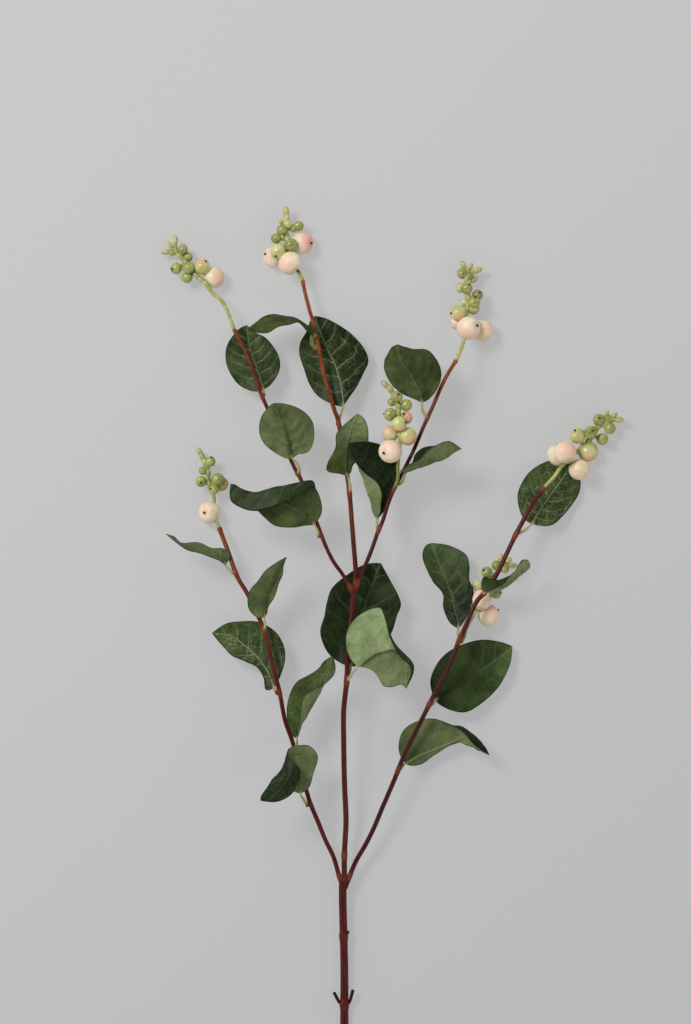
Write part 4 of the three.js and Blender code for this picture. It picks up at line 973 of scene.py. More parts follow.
            [58, 495, 27.5,  42, 496, 30,  28, 494.5, 30],
            [58.5, 501, 27.5,  40, 500, 30,  24.5, 502, 30],
            [56.5, 507, 27.5,  37.5, 503, 29.5,  24.5, 508, 29.5],
            [50.5, 514.2, 27,  35, 506.5, 29,  26.5, 512, 28.5],
            [40.5, 515.2, 26.5,  33.5, 511.5, 27.5,  28.8, 515.8, 27.5],
            [32.5, 517.6, 26.5],
        ],
    },
    "leaf_right_1": {
        "petiole": [[33, 262.5, 17], [35, 264, 16], [37, 266.5, 14.5]],
        "rows": [
            [37, 266.5, 14.5],
            [39.5, 265, 13,  40, 267, 13,  40.5, 268.5, 13.5,  37.5, 270, 14,  34, 271, 14],
            [44.5, 265, 10.5,  45, 268, 11,  45, 271, 12,  39.5, 274.5, 13,  33, 277.5, 14],
            [49, 267.5, 8.5,  51, 270.5, 9.5,  52.5, 274, 11,  44, 280.5, 12,  35.5, 285.5, 14],
            [56.5, 272, 8,  58.5, 274.5, 10,  60, 277, 11.5,  52, 285, 12,  44, 291.5, 13],
            [64.5, 277, 10,  65.5, 278.5, 11.5,  67, 280, 13,  61.5, 286, 12.5,  55.5, 293, 12.5],
            [70, 279, 12,  71, 280.5, 13.5,  72, 282, 15,  69.5, 288.5, 15.5,  69, 287, 18.5],
            [74, 277, 15,  75, 278, 15.5,  76, 279.5, 16.5,  76.5, 284.5, 17.5,  74.5, 282, 20],
            [79, 275.5, 16,  79.5, 275.5, 16,  80, 276, 16.5,  82, 279.5, 18,  78.5, 277.5, 20],
            [87.5, 271.5, 17],
        ],
    },
    "leaf_right_2": {
        "petiole": [[51.5, 301.5, 21.5], [53.5, 302, 19], [55, 304, 17.5]],
        "rows": [
            [55, 304, 17],
            [53.5, 307.5, 15.5,  58, 307, 15.5,  58.5, 301, 15.5],
            [52, 315, 14.5,  64, 310.5, 12.5,  65.5, 298, 13],
            [54.5, 323, 14,  71, 314, 10.5,  73.5, 297, 11],
            [60.5, 331.5, 13,  77.5, 318.5, 9,  82.5, 302, 9],
            [71, 337.5, 11,  84.5, 323.5, 8,  91, 309.5, 8],
            [83.5, 340.5, 8.5,  91.5, 328.5, 7,  96.5, 317.5, 7.5],
            [95, 339, 6.5,  97.5, 333, 6,  100.5, 327.5, 7],
            [101.5, 336.5, 5.5],
        ],
    },
    "leaf_right_3": {
        "petiole": [[70, 341, 23], [68.5, 344.5, 20], [69, 347, 17.5]],
        "rows": [
            [69, 347, 17],
            [64, 350.5, 15.5,  68.5, 352, 16,  73, 352.5, 17],
            [60, 359.5, 13,  66.5, 359.5, 14,  76.5, 360.5, 15],
            [59.5, 368.5, 12.5,  64.5, 368, 12,  78, 370, 13.5],
            [53.5, 375.5, 12,  61.5, 376.5, 10,  75.5, 377, 12],
            [49.5, 384, 9.5,  58, 384, 8,  75.5, 385.5, 10],
            [47.5, 392, 6.5,  55, 391, 5.5,  72.5, 392.5, 7],
            [49.5, 397, 4,  53.5, 395.5, 4,  62, 397.5, 4.5],
            [53, 398.5, 3],
        ],
    },
    "leaf_right_4": {
        "petiole": [[85, 369, 22], [84, 368.5, 23.5], [84.5, 369, 24]],
        "rows": [
            [84, 368.5, 24],
            [82.5, 374, 24,  84.5, 372, 24,  87.5, 369.5, 24.5,  87, 370, 25,  86.5, 370, 26],
            [84.5, 378.5, 24.5,  88, 375, 24,  92, 370.5, 24.5,  91.5, 371, 26,  91, 371.5, 27],
            [91, 376.5, 24.5,  93.5, 374.5, 24.5,  96.5, 372.5, 25,  96, 373, 27,  95, 374, 28],
            [97, 378, 25,  98.5, 377, 25,  101.5, 376, 25.5,  101, 377, 27.5,  99, 378, 29],
            [102.5, 381.5, 26,  104, 381, 25.5,  106, 380, 26,  105, 381, 28.5,  103, 382.5, 29.5],
            [105.2, 386, 27,  107, 385, 26.5,  110.3, 383.4, 27,  108, 385, 29,  105.5, 386.5, 30],
            [107.3, 388.6, 28,  109, 387.6, 27.5,  111.3, 386, 28,  109.8, 387.4, 29,
             108, 388.4, 29.5],
            [110.2, 388.4, 28.7],
        ],
    },
    "leaf_right_5": {
        "petiole": [[103, 403.5, 19], [108.5, 406, 16.5], [113, 410, 14]],
        "rows": [
            [113, 410, 14],
            [108.5, 413, 12.5,  114.5, 412.5, 12.5,  118.5, 409, 12],
            [105.5, 419.5, 10.5,  117.5, 417.5, 10,  125.5, 409.5, 9.5],
            [104.5, 427.5, 9.5,  121, 422.5, 8,  131.5, 414.5, 7.5],
            [107, 434.5, 8.5,  124.5, 427.5, 6.5,  137, 421, 5.5],
            [112, 441.5, 7,  128.5, 433, 5,  141.5, 428.5, 4],
            [119.5, 446.5, 5,  132, 438, 3.5,  142.5, 436.5, 2.5],
            [127.5, 448.5, 3,  134.5, 442.5, 2.5,  139.5, 442.5, 2],
            [136, 446, 2],
        ],
    },
}
print("leaves:", len(LEAVES), "rows of places:", sum(len(leaf["rows"]) for leaf in LEAVES.values()))

# %% [markdown]
# ## Finishes
# Bark is red-brown with long streaks. Young wood is warmer and lighter, the oldest is nearly black,
# and every knuckle is a little browner. Cut faces are pale. The bark reads the ring and the length
# that the sweep left on it, so its streaks follow the twig however it bends.


# %% Reading what a mesh keeps
def attribute(bench, name, output="Fac"):
    """Reads in a material what the points of a mesh keep under a name."""
    return bench.node("ShaderNodeAttribute", {"attribute_name": name}, {}, output)


def combined(bench, x, y, z):
    """A vector from its three parts."""
    return bench.node("ShaderNodeCombineXYZ", {}, {"X": x, "Y": y, "Z": z})


def bumped(bench, height, strength, depth):
    """The slopes that a height gives a surface, for a shader's Normal."""
    values = {"Strength": strength, "Distance": depth, "Height": height}
    return bench.node("ShaderNodeBump", {}, values, "Normal")


print("a material reads what the meshes keep: ring, along, ripeness and the rest")

# %% Bark
WOOD = {"dark": paint(56, 13, 11), "red": paint(98, 30, 22), "oldest": paint(42, 10, 10),
        "young dark": paint(98, 36, 14), "young light": paint(178, 102, 48),
        "knuckle": paint(138, 66, 34), "cut": paint(196, 168, 128)}
STREAKS_ACROSS, STREAKS_ALONG = 4, 0.09
BLOTCHES_ACROSS, BLOTCHES_ALONG = 0.8, 0.045


def bark_material():
    """Red-brown wood. Its young number is 1 on young wood, 0 on plain and -1 on the oldest."""
    material, bench, shader = new_material("bark", {"IOR": 1.45, "Specular IOR Level": 0.22})
    ring, length = attribute(bench, "ring", "Vector"), attribute(bench, "along")
    young = attribute(bench, "young")

    def clouds(across, lengthwise, size, detail):
        """Noise around and along a twig, so its clouds can be drawn out along the wood."""
        x, y = (bench.part(ring, axis) * across for axis in "XY")
        return bench.noise(combined(bench, x, y, length * lengthwise), size, detail)

    streaks = clouds(STREAKS_ACROSS, STREAKS_ALONG, 1.6, 5)
    blotches = clouds(BLOTCHES_ACROSS, BLOTCHES_ALONG, 1.3, 3)
    wood = mixed(streaks.rise(0.3, 0.7), WOOD["dark"], WOOD["red"])
    wood = mixed(young.rise(0, -1) * 0.8, wood, WOOD["oldest"])
    warm = mixed(streaks.rise(0.38, 0.62), WOOD["young dark"], WOOD["young light"])
    wood = mixed(young * blotches.rise(0.25, 0.5), wood, warm)
    knuckle = attribute(bench, "knuckle").rise(0.2, 1) * attribute(bench, "warmth")
    wood = mixed(knuckle, wood, WOOD["knuckle"])
    cut = length.rise(0.02, 0) * young.rise(-1, -0.5)
    wood = mixed(cut, wood, WOOD["cut"])
    feed(bench, shader, Base_Color=wood, Roughness=0.24 + streaks * 0.2 + cut * 0.4,
         Normal=bumped(bench, streaks, 0.5, 0.3 * MM))
    return material


BARK = bark_material()
print("bark:", len(BARK.node_tree.nodes), "nodes")

# %% [markdown]
# A stalk or petiole is yellow-green, and a brown sleeve covers it where it leaves its twig.
# Petioles are a little faded. Some stalks and petioles are darker near their twig, where leaves
# shade them: that darkening is painted shade.

# %% Green stalks
# The dusky green is painted shade, for where leaves shade a stalk near its twig.
STALK_GREENS = {"dark": paint(142, 146, 72), "light": paint(182, 184, 112),
                "faded": paint(164, 160, 118), "dusky": paint(104, 110, 56),
                "sleeve": paint(104, 62, 38)}
DUSK_ENDS, DUSK_FULL = 30, 6
SLEEVE_EDGE = 3


def stalk_material():
    """Green stalks with a brown sleeve, whose length in millimetres the stalk keeps.
    Some are darker near their twig: painted shade.
    """
    constants = {"IOR": 1.42, "Specular IOR Level": 0.4, "Subsurface Weight": 0.1,
                 "Subsurface Scale": 0.001}
    material, bench, shader = new_material("green stalk", constants)
    length, sleeve = attribute(bench, "along"), attribute(bench, "sleeve")
    clouds = bench.noise(object_place(bench), 260, 3)
    green = mixed(clouds.rise(0.3, 0.7), STALK_GREENS["dark"], STALK_GREENS["light"])
    green = mixed(attribute(bench, "faded") * 0.75, green, STALK_GREENS["faded"])
    # Painted shade: the dusk number darkens a stalk near its twig.
    dusk = attribute(bench, "dusk") * length.rise(DUSK_ENDS, DUSK_FULL)
    green = mixed(dusk, green, STALK_GREENS["dusky"])
    brown = (length + clouds * 3).rise(sleeve + SLEEVE_EDGE, sleeve)
    green = mixed(brown, green, STALK_GREENS["sleeve"])
    feed(bench, shader, Base_Color=green, Roughness=0.42 + clouds * 0.15)
    return material


STALK = stalk_material()
print("stalk:", len(STALK.node_tree.nodes), "nodes")

# %% [markdown]
# A berry knows its middle, its size, how ripe it is and where its blush lies. Its skin mixes green,
# half-ripe and cream by ripeness. The blush spreads over the side that faces the given way, some
# green berries are dull and brownish, and every berry is greener where it joins its stalk.

# %% Berries
SKINS = {"green": (paint(119, 136, 62), paint(160, 173, 98)),
         "half": (paint(179, 182, 108), paint(208, 205, 148)),
         "cream": (paint(226, 206, 175), paint(238, 222, 197)),
         "blush": (paint(218, 152, 104), paint(234, 176, 160))}
DULL_BROWN, STALK_GREEN, FLECK = paint(136, 118, 78), paint(150, 156, 90), paint(120, 90, 60)
MOTTLE_SIZE, FLECK_SIZE = 160, 900


def berry_material():
    """Waxy skin, from green over half-ripe to cream with a blush."""
    constants = {"IOR": 1.45, "Specular IOR Level": 0.7, "Subsurface Weight": 0.4,
                 "Subsurface Scale": 0.004, "Subsurface Radius": (1, 0.6, 0.35)}
    material, bench, shader = new_material("berry skin", constants)
    place = object_place(bench)
    from_heart = bench.vector("SUBTRACT", {0: place, 1: attribute(bench, "heart", "Vector")})
    outwards = bench.vector("NORMALIZE", {0: from_heart})

    def towards(name):
        """How far the skin faces the way that the berry keeps under a name, from -1 to 1."""
        aim = attribute(bench, name, "Vector")
        return bench.vector("DOT_PRODUCT", {0: outwards, 1: aim}, "Value")

    facing = towards("blush_side")
    mottle = bench.noise(place, MOTTLE_SIZE, 1.5)
    fine = bench.noise(place, FLECK_SIZE, 3)
    ripe = attribute(bench, "ripeness")
    green, half, cream = (mixed(mottle.rise(0.3, 0.7), *SKINS[stage])
                          for stage in ("green", "half", "cream"))
    skin = mixed(ripe.rise(0, 0.5), green, half)
    skin = mixed(attribute(bench, "dull") * (facing + mottle).rise(-0.3, 0.9), skin, DULL_BROWN)
    skin = mixed(ripe.rise(0.5, 1), skin, cream)
    blush = (facing + (mottle - 0.5) * 0.8).rise(0.1, 0.95) * attribute(bench, "blush")
    skin = mixed(blush, skin, mixed(ripe, *SKINS["blush"]))
    skin = mixed(towards("away").rise(-0.7, -1) * 0.5, skin, STALK_GREEN)
    skin = mixed(fine.rise(0.6, 0.8) * 0.12, skin, FLECK)
    feed(bench, shader, Base_Color=skin, Roughness=0.17 + ripe * 0.26 + fine * 0.05,
         Normal=bumped(bench, mottle, 0.12, 0.2 * MM))
    return material


SKIN = berry_material()
CALYX, _, _ = new_material("calyx", {"Base Color": paint(34, 24, 18), "Roughness": 0.7})
print("berry skin:", len(SKIN.node_tree.nodes), "nodes")

# %% [markdown]
# A leaf is dark green above and paler below. A pale rib and pale side veins run over the upper
# face, and a net of finer veins lies between them, stronger in some patches than in others. The
# side veins come from a number that grows by one from each to the next, so a vein lies wherever it
# is whole. How strong the veins are, how light each face is and more differ from leaf to leaf, and
# from a leaf's left to its right and from its base to its tip. How light a face is holds the leaf's
# own tone together with painted light and shade: parts turned towards the lights, or glossy under
# them, are painted lighter, and parts turned away are painted darker.

# %% Veins
LEAF_MARKS = ("upper", "rib", "side", "vein", "gap", "reach", "seed", "tipwards", "margin",
              "veins", "net", "lit", "pale", "rib_tone", "shade")
LOOP_SIZE, NET_SIZE = 0.17, 0.42
NET_WARP = (4, 4, 0)


def leaf_veins(bench, marks):
    """Where a leaf's rib, its side veins and its net show, and the lighter halo around them."""
    rib, side = abs(marks["rib"]), abs(marks["side"])
    past_vein = bench.node("ShaderNodeMath", {"operation": "FRACT"}, {0: marks["vein"] + 100.5})
    apart = abs(past_vein - 0.5) * marks["gap"]
    place = combined(bench, marks["rib"] * 1.2, marks["reach"], marks["seed"])
    warp = bench.noise(place, 0.3, 3, output="Color")
    warped = bench.vector("MULTIPLY_ADD", {0: warp, 1: NET_WARP, 2: place})
    cells = {"voronoi_dimensions": "3D", "feature": "DISTANCE_TO_EDGE"}
    loops, net = (bench.node("ShaderNodeTexVoronoi", cells, {"Vector": warped, "Scale": size})
                  for size in (LOOP_SIZE, NET_SIZE))
    patches = bench.noise(place, 0.16, 2).rise(0.4, 0.62)
    rib_line = rib.rise(0.42, 0.08) * (1 - marks["tipwards"] * 0.55)
    thin = 0.33 - side * 0.18
    vein_line = apart.rise(thin, thin * 0.3) * side.rise(1, 0.5) * (0.55 + patches * 0.45)
    net_line = loops.rise(0.045, 0.01) * 0.8 | net.rise(0.09, 0.02) * 0.3
    net_line = net_line * (0.25 + patches * 0.75) * marks["net"]
    halo = (apart.rise(2, 0) | rib.rise(2.4, 0)) * marks["veins"] * 0.35
    return {"rib": rib_line, "side": vein_line, "net": net_line, "halo": halo}


print("a leaf keeps:", ", ".join(LEAF_MARKS))

# %% The upper face
TOP_DARK = (paint(13, 24, 9), paint(30, 44, 18))
TOP_LIGHT = (paint(50, 66, 31), paint(78, 96, 52))
HALO, VEIN_PALE = paint(74, 92, 46), paint(166, 178, 130)
GROOVE_SHADOW, TOP_MARGIN = paint(12, 20, 10), paint(15, 25, 16)


def upper_face(marks, lines, cloud):
    """Dark green with pale veins, with painted light and shade. Veins of a strength below 0 paint
    a shadow into the rib's groove instead.
    """
    clouds = cloud.rise(0.3, 0.7)
    # lit mixes the upper face's own tone with painted light and shade, and on some a painted sheen.
    top = mixed(marks["lit"], mixed(clouds, *TOP_DARK), mixed(clouds, *TOP_LIGHT))
    top = mixed(lines["halo"], top, HALO)
    seen = (lines["rib"] | lines["side"] * 0.8 | lines["net"] * 0.5) * marks["veins"]
    top = mixed(seen, top, VEIN_PALE)
    # Painted shadow in the rib's groove, where the veins number is below 0.
    groove_shadow = marks["veins"].rise(0, -0.5) * abs(marks["rib"]).rise(1.8, 0.1) * 0.7
    top = mixed(groove_shadow, top, GROOVE_SHADOW)
    return mixed(marks["margin"].rise(0.9, 0.2) * 0.75, top, TOP_MARGIN)


print("the darkest upper face, in a shader:", [round(level, 3) for level in TOP_DARK[0][:3]])

# %% The underside
OLIVE = (paint(40, 49, 18), paint(68, 78, 34))
PALE = (paint(125, 142, 96), paint(146, 160, 114))
CREASE_SHADOW, RIB_SHADOW, RIB_SHADE = paint(44, 50, 22), paint(36, 42, 20), paint(52, 56, 26)
PALE_RIB, LOW_MARGIN = paint(166, 164, 122), paint(40, 50, 32)


def underside(marks, lines, cloud, creases):
    """Olive to pale green, with painted light and shade. A dark rib, the lines in fine creases and
    a band beside the rib are painted shade; a pale rib is the leaf's own colour.
    """
    rib = abs(marks["rib"])
    olive, pale = mixed(cloud.rise(0.3, 0.7), *OLIVE), mixed(cloud.rise(0.35, 0.65), *PALE)
    # The pale number mixes the underside's own tone with painted light and shade.
    low = mixed(marks["pale"], olive, pale)
    # Painted shade in the fine creases of the crinkled underside.
    low = mixed(creases.rise(0.05, 0) * 0.14, low, CREASE_SHADOW)
    # Painted shade along the rib and beside the side veins, where rib_tone is below 0.
    rib_shadow_mask = rib.rise(2.8, 0.2) * cloud.rise(0.2, 0.45) * 0.75 | lines["side"] * 0.3
    low = mixed(rib_shadow_mask * marks["rib_tone"].rise(0.1, -1), low, RIB_SHADOW)
    # Painted shadow in a band along one side of the rib.
    beside = marks["rib"] * marks["shade"]
    low = mixed(beside.rise(0, 0.35) * beside.rise(3.4, 0.4) * 0.6, low, RIB_SHADE)
    low = mixed(lines["rib"] * marks["rib_tone"].rise(0, 1), low, PALE_RIB)
    return mixed(marks["margin"].rise(0.9, 0.2) * 0.65, low, LOW_MARGIN)


print("the palest underside, in a shader:", [round(level, 3) for level in PALE[1][:3]])

# %% [markdown]
# The two faces join into one finish. Both have a fine grain and a pale collar where the petiole
# starts. The upper face is smooth and a little glossy, with sunk veins. On the dull underside the
# veins stand out, and it is crinkled.

# %% Leaf finish
GRAIN_LIGHT, GRAIN_DARK, COLLAR = paint(112, 126, 88), paint(22, 30, 14), paint(158, 162, 110)


def leaf_material():
    """One finish for both faces of a leaf."""
    constants = {"IOR": 1.45, "Specular IOR Level": 0.12, "Subsurface Weight": 0.06,
                 "Subsurface Scale": 0.001}
    material, bench, shader = new_material("leaf", constants)
    marks = {name: attribute(bench, name) for name in LEAF_MARKS}
    place, upper = object_place(bench), marks["upper"]
    lines = leaf_veins(bench, marks)
    cloud = bench.noise(place, 90, 4)
    grain = bench.noise(place, 700, 3)
    creases = abs(bench.noise(place, 75, 3, Distortion=0.8) - 0.5)
    top = upper_face(marks, lines, cloud)
    low = underside(marks, lines, cloud, creases)
    leaf = mixed(upper, low, top)
    leaf = mixed(grain.rise(0.5, 0.72) * 0.1, leaf, GRAIN_LIGHT)
    leaf = mixed(grain.rise(0.5, 0.3) * 0.14, leaf, GRAIN_DARK)
    collar = (marks["reach"] + abs(marks["rib"]) * 1.4).rise(4.5, 0.8)
    leaf = mixed(collar * 0.75, leaf, COLLAR)
    relief = (lines["rib"] * 1.2 | lines["side"]) + lines["net"] * 0.3
    crinkle = bench.noise(place, 130, 3) * 3.6 + bench.noise(place, 300, 2) * 1.3
    crinkle = (crinkle - creases.rise(0.08, 0) * 0.25) * (1 - upper * 0.9)
    folds = crinkle - relief * (upper * 2 - 1) * 0.35 + grain * 0.1
    feed(bench, shader, Base_Color=leaf, Roughness=0.55 - upper * 0.17 + grain * 0.1,
         Normal=bumped(bench, folds, 0.6, 1 * MM))
    return material


LEAF = leaf_material()
print("finishes:", [finish.name for finish in (BARK, STALK, SKIN, CALYX, LEAF)])

# %% [markdown]
# ## Knuckles
# Every petiole, stalk and branch leaves its twig at a knuckle. Their places, taken from the tables,
# are the points of one small mesh that the sweep looks at.


# %% Knuckles
def knuckles(name, places):
    """A cloud of points that the sweep thickens its wood near."""
    cloud = bpy.data.objects.new(name, points_mesh(name, placed(places)))
    bpy.context.scene.collection.objects.link(cloud)
    return cloud


leaving = [leaf["petiole"][0] for leaf in LEAVES.values()]
leaving += [cluster["stalk"][0] for cluster in CLUSTERS.values()]
leaving += [TWIGS[name]["path"][1] for name in TWIGS if name != "main_stem"]
leaving += [STUBS[0][0], STUBS[2][0]]
twig_knuckles = knuckles("twig knuckles", leaving)
print("knuckles:", len(leaving))

# %% [markdown]
# ## The twigs, finished
# Wood is youngest at the tip of its twig. Each twig has a number for how young it is at its foot
# and one for its tip, and the change comes late along it. The stubs of the main stem are its
# oldest wood, dark over their cut tips too.

# %% Twigs, finished
TWIG_SHAPE = {"Sides": 20, "Step": 1.2 * MM, "Swelling": 0.2, "Reach": 4 * MM, "Bumps": 0.2 * MM}
STUB_SHAPE = {"Sides": 12, "Swelling": 0}
YOUNG = {"main_stem": (-0.3, -0.3), "branch_centre": (-0.2, 0.9), "branch_left": (-0.2, 0.6),
         "branch_right": (-0.7, -0.1), "shoot_upper_left": (-0.2, 0.45),
         "shoot_upper_right": (-0.6, 1)}
YOUNG_LATE, STEM_WARMTH_LATE = 2.4, 14
BRANCH_WARMTH = 0.5


def swept(name, points, radii, values, **extra):
    """A line of points grown into a round stalk, which keeps extra numbers on all its points."""
    line = line_mesh(name, points, radii)
    for label, value in extra.items():
        keeper = line.attributes.new(label, "FLOAT", "POINT")
        keeper.data.foreach_set("value", np.full(len(points), value, float))
    return grown(line, SWEEP, values)


for name, twig in TWIGS.items():
    values = {**TWIG_SHAPE, "Knuckles": twig_knuckles, "Material": BARK}
    share = along(twig["path"]) / along(twig["path"])[-1]
    foot, tip = YOUNG[name]
    young = foot + (tip - foot) * share ** YOUNG_LATE
    stem = name == "main_stem"
    warmth = 0.1 + 0.4 * share ** STEM_WARMTH_LATE if stem else BRANCH_WARMTH
    meshes = [swept(name, twig["path"], twig["radii"], values, young=young, warmth=warmth)]
    for stub in STUBS if stem else []:
        inwards = (stub[::-1], STUB_RADII[::-1])
        meshes.append(swept("stub", *inwards, {**values, **STUB_SHAPE}, young=-1, warmth=0))
    finished(name, meshes)

# %% [markdown]
# ## The berries
# Another tree sets a ball on each point of a cloud, turned to face the way its calyx points. A
# berry's tip has a small dimple with a little dark calyx on it. A bud is a narrower, longer ball
# with more lumps and no calyx.


# %% Tree that sets berries on points
LUMP_SIZE = 130
CUP = {"Vertices": 8, "Side Segments": 1, "Radius Top": 1, "Radius Bottom": 0.8, "Depth": 0.7}


def berry_tree():
    """Sets a berry on each point, with a calyx on its tip, and keeps the points' numbers."""
    labels = ["Sides", "Dimple", "Lumps", "Material", "Calyx material"]
    bench, given = geometry_tree("berries on points", labels)
    node = bench.node
    ball_faces = {"Segments": given["Sides"], "Rings": given["Sides"] * 0.6, "Radius": 1}
    ball = node("GeometryNodeMeshUVSphere", {}, ball_faces)
    height = bench.part(node("GeometryNodeInputPosition"), "Z")
    dimple = combined(bench, 0, 0, 0 - height.rise(0.8, 1) * given["Dimple"])
    ball = node("GeometryNodeSetPosition", {}, {"Geometry": ball, "Offset": dimple})
    away = kept(bench, "away", "FLOAT_VECTOR")
    turned = node("FunctionNodeAlignRotationToVector", {"axis": "Z"}, {"Vector": away})
    balls = {"Points": given["Geometry"], "Instance": ball, "Rotation": turned,
             "Scale": kept(bench, "shape", "FLOAT_VECTOR")}
    berries = node("GeometryNodeInstanceOnPoints", {}, balls)
    berries = node("GeometryNodeRealizeInstances", {}, {"Geometry": berries})
    berries = stored(berries, "dark", 0.0)
    lump = node("ShaderNodeTexNoise", {}, {"Scale": LUMP_SIZE, "Detail": 1}) - 0.5
    berries = pushed(berries, lump * given["Lumps"] * kept(bench, "size"))
    berries = node("GeometryNodeSetShadeSmooth", {}, {"Geometry": berries})
    to_tip = bench.vector("SCALE", {0: away, "Scale": kept(bench, "tip")})
    to_tip = {"Geometry": given["Geometry"], "Offset": to_tip}
    cup, wide = node("GeometryNodeMeshCone", {}, CUP), kept(bench, "calyx")
    cups = {"Points": node("GeometryNodeSetPosition", {}, to_tip), "Instance": cup,
            "Rotation": turned, "Scale": wide, "Selection": wide}
    cups = node("GeometryNodeInstanceOnPoints", {}, cups)
    cups = stored(node("GeometryNodeRealizeInstances", {}, {"Geometry": cups}), "dark", 1.0)
    fruit = node("GeometryNodeJoinGeometry", {}, {"Geometry": [berries, cups]})
    fruit = node("GeometryNodeRealizeInstances", {}, {"Geometry": fruit})
    skin = {"Geometry": fruit, "Material": given["Material"]}
    fruit = node("GeometryNodeSetMaterial", {}, skin)
    calyx = {"Geometry": fruit, "Selection": kept(bench, "dark"),
             "Material": given["Calyx material"]}
    node("NodeGroupOutput", {}, {"Geometry": node("GeometryNodeSetMaterial", {}, calyx)})
    return bench.tree


BERRIES = berry_tree()
print("tree:", BERRIES.name, "with", len(BERRIES.nodes), "nodes")

# %% [markdown]
# Fruit leaves its stalk a little before the nearest place on it, because it leans towards the tip.
# Buds do so most. The upper part of every stalk is also crowded with small knobs, the fruit that
# never grew, which have the form of buds and random places.

# %% Where fruit leaves its stalk
LEAN = {"bud": 3, "green": 1.5, "half": 1, "ripe": 1}
SPOTS = 60
KNOB_START = 0.6
KNOB_STEP = 2.8
KNOB_RADII = (1.3, 1.9)
KNOB_DISTANCE = 1


def point_on(line, length):
    """The place on a line of points at a length from its start."""
    return np.array([np.interp(length, along(line), column) for column in np.transpose(line)])


def leaving_place(stalk, kind, place):
    """Where the fruit at a place leaves its stalk."""
    lengths = np.linspace(0, along(stalk)[-1], SPOTS)
    apart = [np.linalg.norm(point_on(stalk, length) - place) for length in lengths]
    return point_on(stalk, max(lengths[np.argmin(apart)] - LEAN[kind], 0))


def unit(vectors):
    """Vectors of the same directions that are one long."""
    return vectors / np.maximum(np.linalg.norm(vectors, axis=-1, keepdims=True), 1e-9)


def knobs(stalk, seed):
    """Small buds close around the upper part of a stalk, in the form of the table's fruit."""
    chance = np.random.default_rng(seed)
    length = along(stalk)[-1]
    fruit = []
    for spot in np.arange(KNOB_START * length, length, KNOB_STEP):
        middle = point_on(stalk, spot)
        outwards = unit(chance.normal(size=3))
        radius = chance.uniform(*KNOB_RADII)
        fruit.append(("bud", tuple(middle + KNOB_DISTANCE * outwards), radius))
    return fruit


print("knobs:", sum(len(knobs(cluster["stalk"], 0)) for cluster in CLUSTERS.values()))

# %% What each berry keeps
RIPENESS = {"bud": 0.28, "green": 0.05, "half": 0.42, "ripe": 1.0}
BLUSH = {"bud": 0.0, "green": 0.0, "half": 0.5, "ripe": 0.5}
FAINT_BLUSH = 0.1
BLUSH_HEIGHT = 0.6
MOST_DULL = 0.15
BUD_SHAPE, BUD_TIP = (0.8, 0.8, 1.35), 1.04
BERRY_SHAPE, BERRY_TIP = (1, 1, 1), 0.94
SMALL_BERRY = 4
SMALL_GROWTH = 1.1
SIDE_CALYX = 0.7
TURNED_DOWN = 0.35


def berry_kept(stalk, kind, place, radius, marks, chance):
    """All that the point of one berry or bud keeps."""
    bud = kind == "bud"
    radius = radius * (SMALL_GROWTH if radius < SMALL_BERRY else 1)
    away = np.array(place) - leaving_place(stalk, kind, place)
    if "calyx" in marks:
        x, y = marks["calyx"]
        away = np.array([x, y, math.sqrt(max(radius ** 2 - x ** 2 - y ** 2, 0))])
    elif not bud:
        away[2] = -TURNED_DOWN * math.hypot(away[0], away[1])
    shape = BUD_SHAPE if bud else BERRY_SHAPE
    blush_side = np.array([*marks.get("blush", (0, 0)), BLUSH_HEIGHT])
    blush = marks.get("blush_depth", BLUSH[kind]) if "blush" in marks else FAINT_BLUSH
    dull = chance.uniform(0, MOST_DULL) if kind in ("green", "bud") else 0
    wide = (0.4 + 0.07 * radius) * (1 if "calyx" in marks else SIDE_CALYX)
    return {"heart": placed(place), "away": away / np.linalg.norm(away),
            "shape": np.array(shape) * radius * MM, "size": radius * MM,
            "tip": radius * MM * shape[2] * (BUD_TIP if bud else BERRY_TIP),
            "ripeness": marks.get("ripeness", RIPENESS[kind]), "blush": blush,
            "blush_side": blush_side / np.linalg.norm(blush_side),
            "dull": marks.get("dull", dull), "calyx": 0 if bud else wide * MM}


def berry_points(name, stalk, fruit, buds, seed):
    """The points of a cluster's buds, or of its berries, with all that each keeps."""
    chance = np.random.default_rng(seed)
    berries = [berry_kept(stalk, kind, place, radius, more[0] if more else {}, chance)
               for kind, place, radius, *more in fruit if (kind == "bud") == buds]
    columns = {label: [berry[label] for berry in berries] for label in berries[0]}
    return points_mesh(name, columns["heart"], **columns)


print("usual ripeness:", RIPENESS)

# %% [markdown]
# A cluster is its stalk, a short stalk to each bud and to each berry that stands off, the berries
# and the buds, all joined into one piece.

# %% Clusters, finished
STALK_RADII = [1.1, 1.05, 1.2, 1.5, 1.4]
STALK_SHAPE = {"Sides": 14, "Step": 0.8 * MM, "Swelling": 0.22, "Reach": 2 * MM,
               "Bumps": 0.25 * MM, "Material": STALK}
PEDICEL_RADII = [1.1, 0.9]
PEDICEL_SHAPE = {"Swelling": 0, "Sides": 8}
NO_SLEEVE, SHORT_SLEEVE = -9, 0.3
BERRY_LOOK = {"Sides": 36, "Dimple": 0.1, "Lumps": 0.08, "Material": SKIN, "Calyx material": CALYX}
BUD_LOOK = {**BERRY_LOOK, "Sides": 14, "Dimple": 0, "Lumps": 0.3}
# How strongly painted shade darkens these clusters' stalks near their twig.
DUSK = {"berries_upper_right_side": 0.8, "berries_right_side": 0.7}

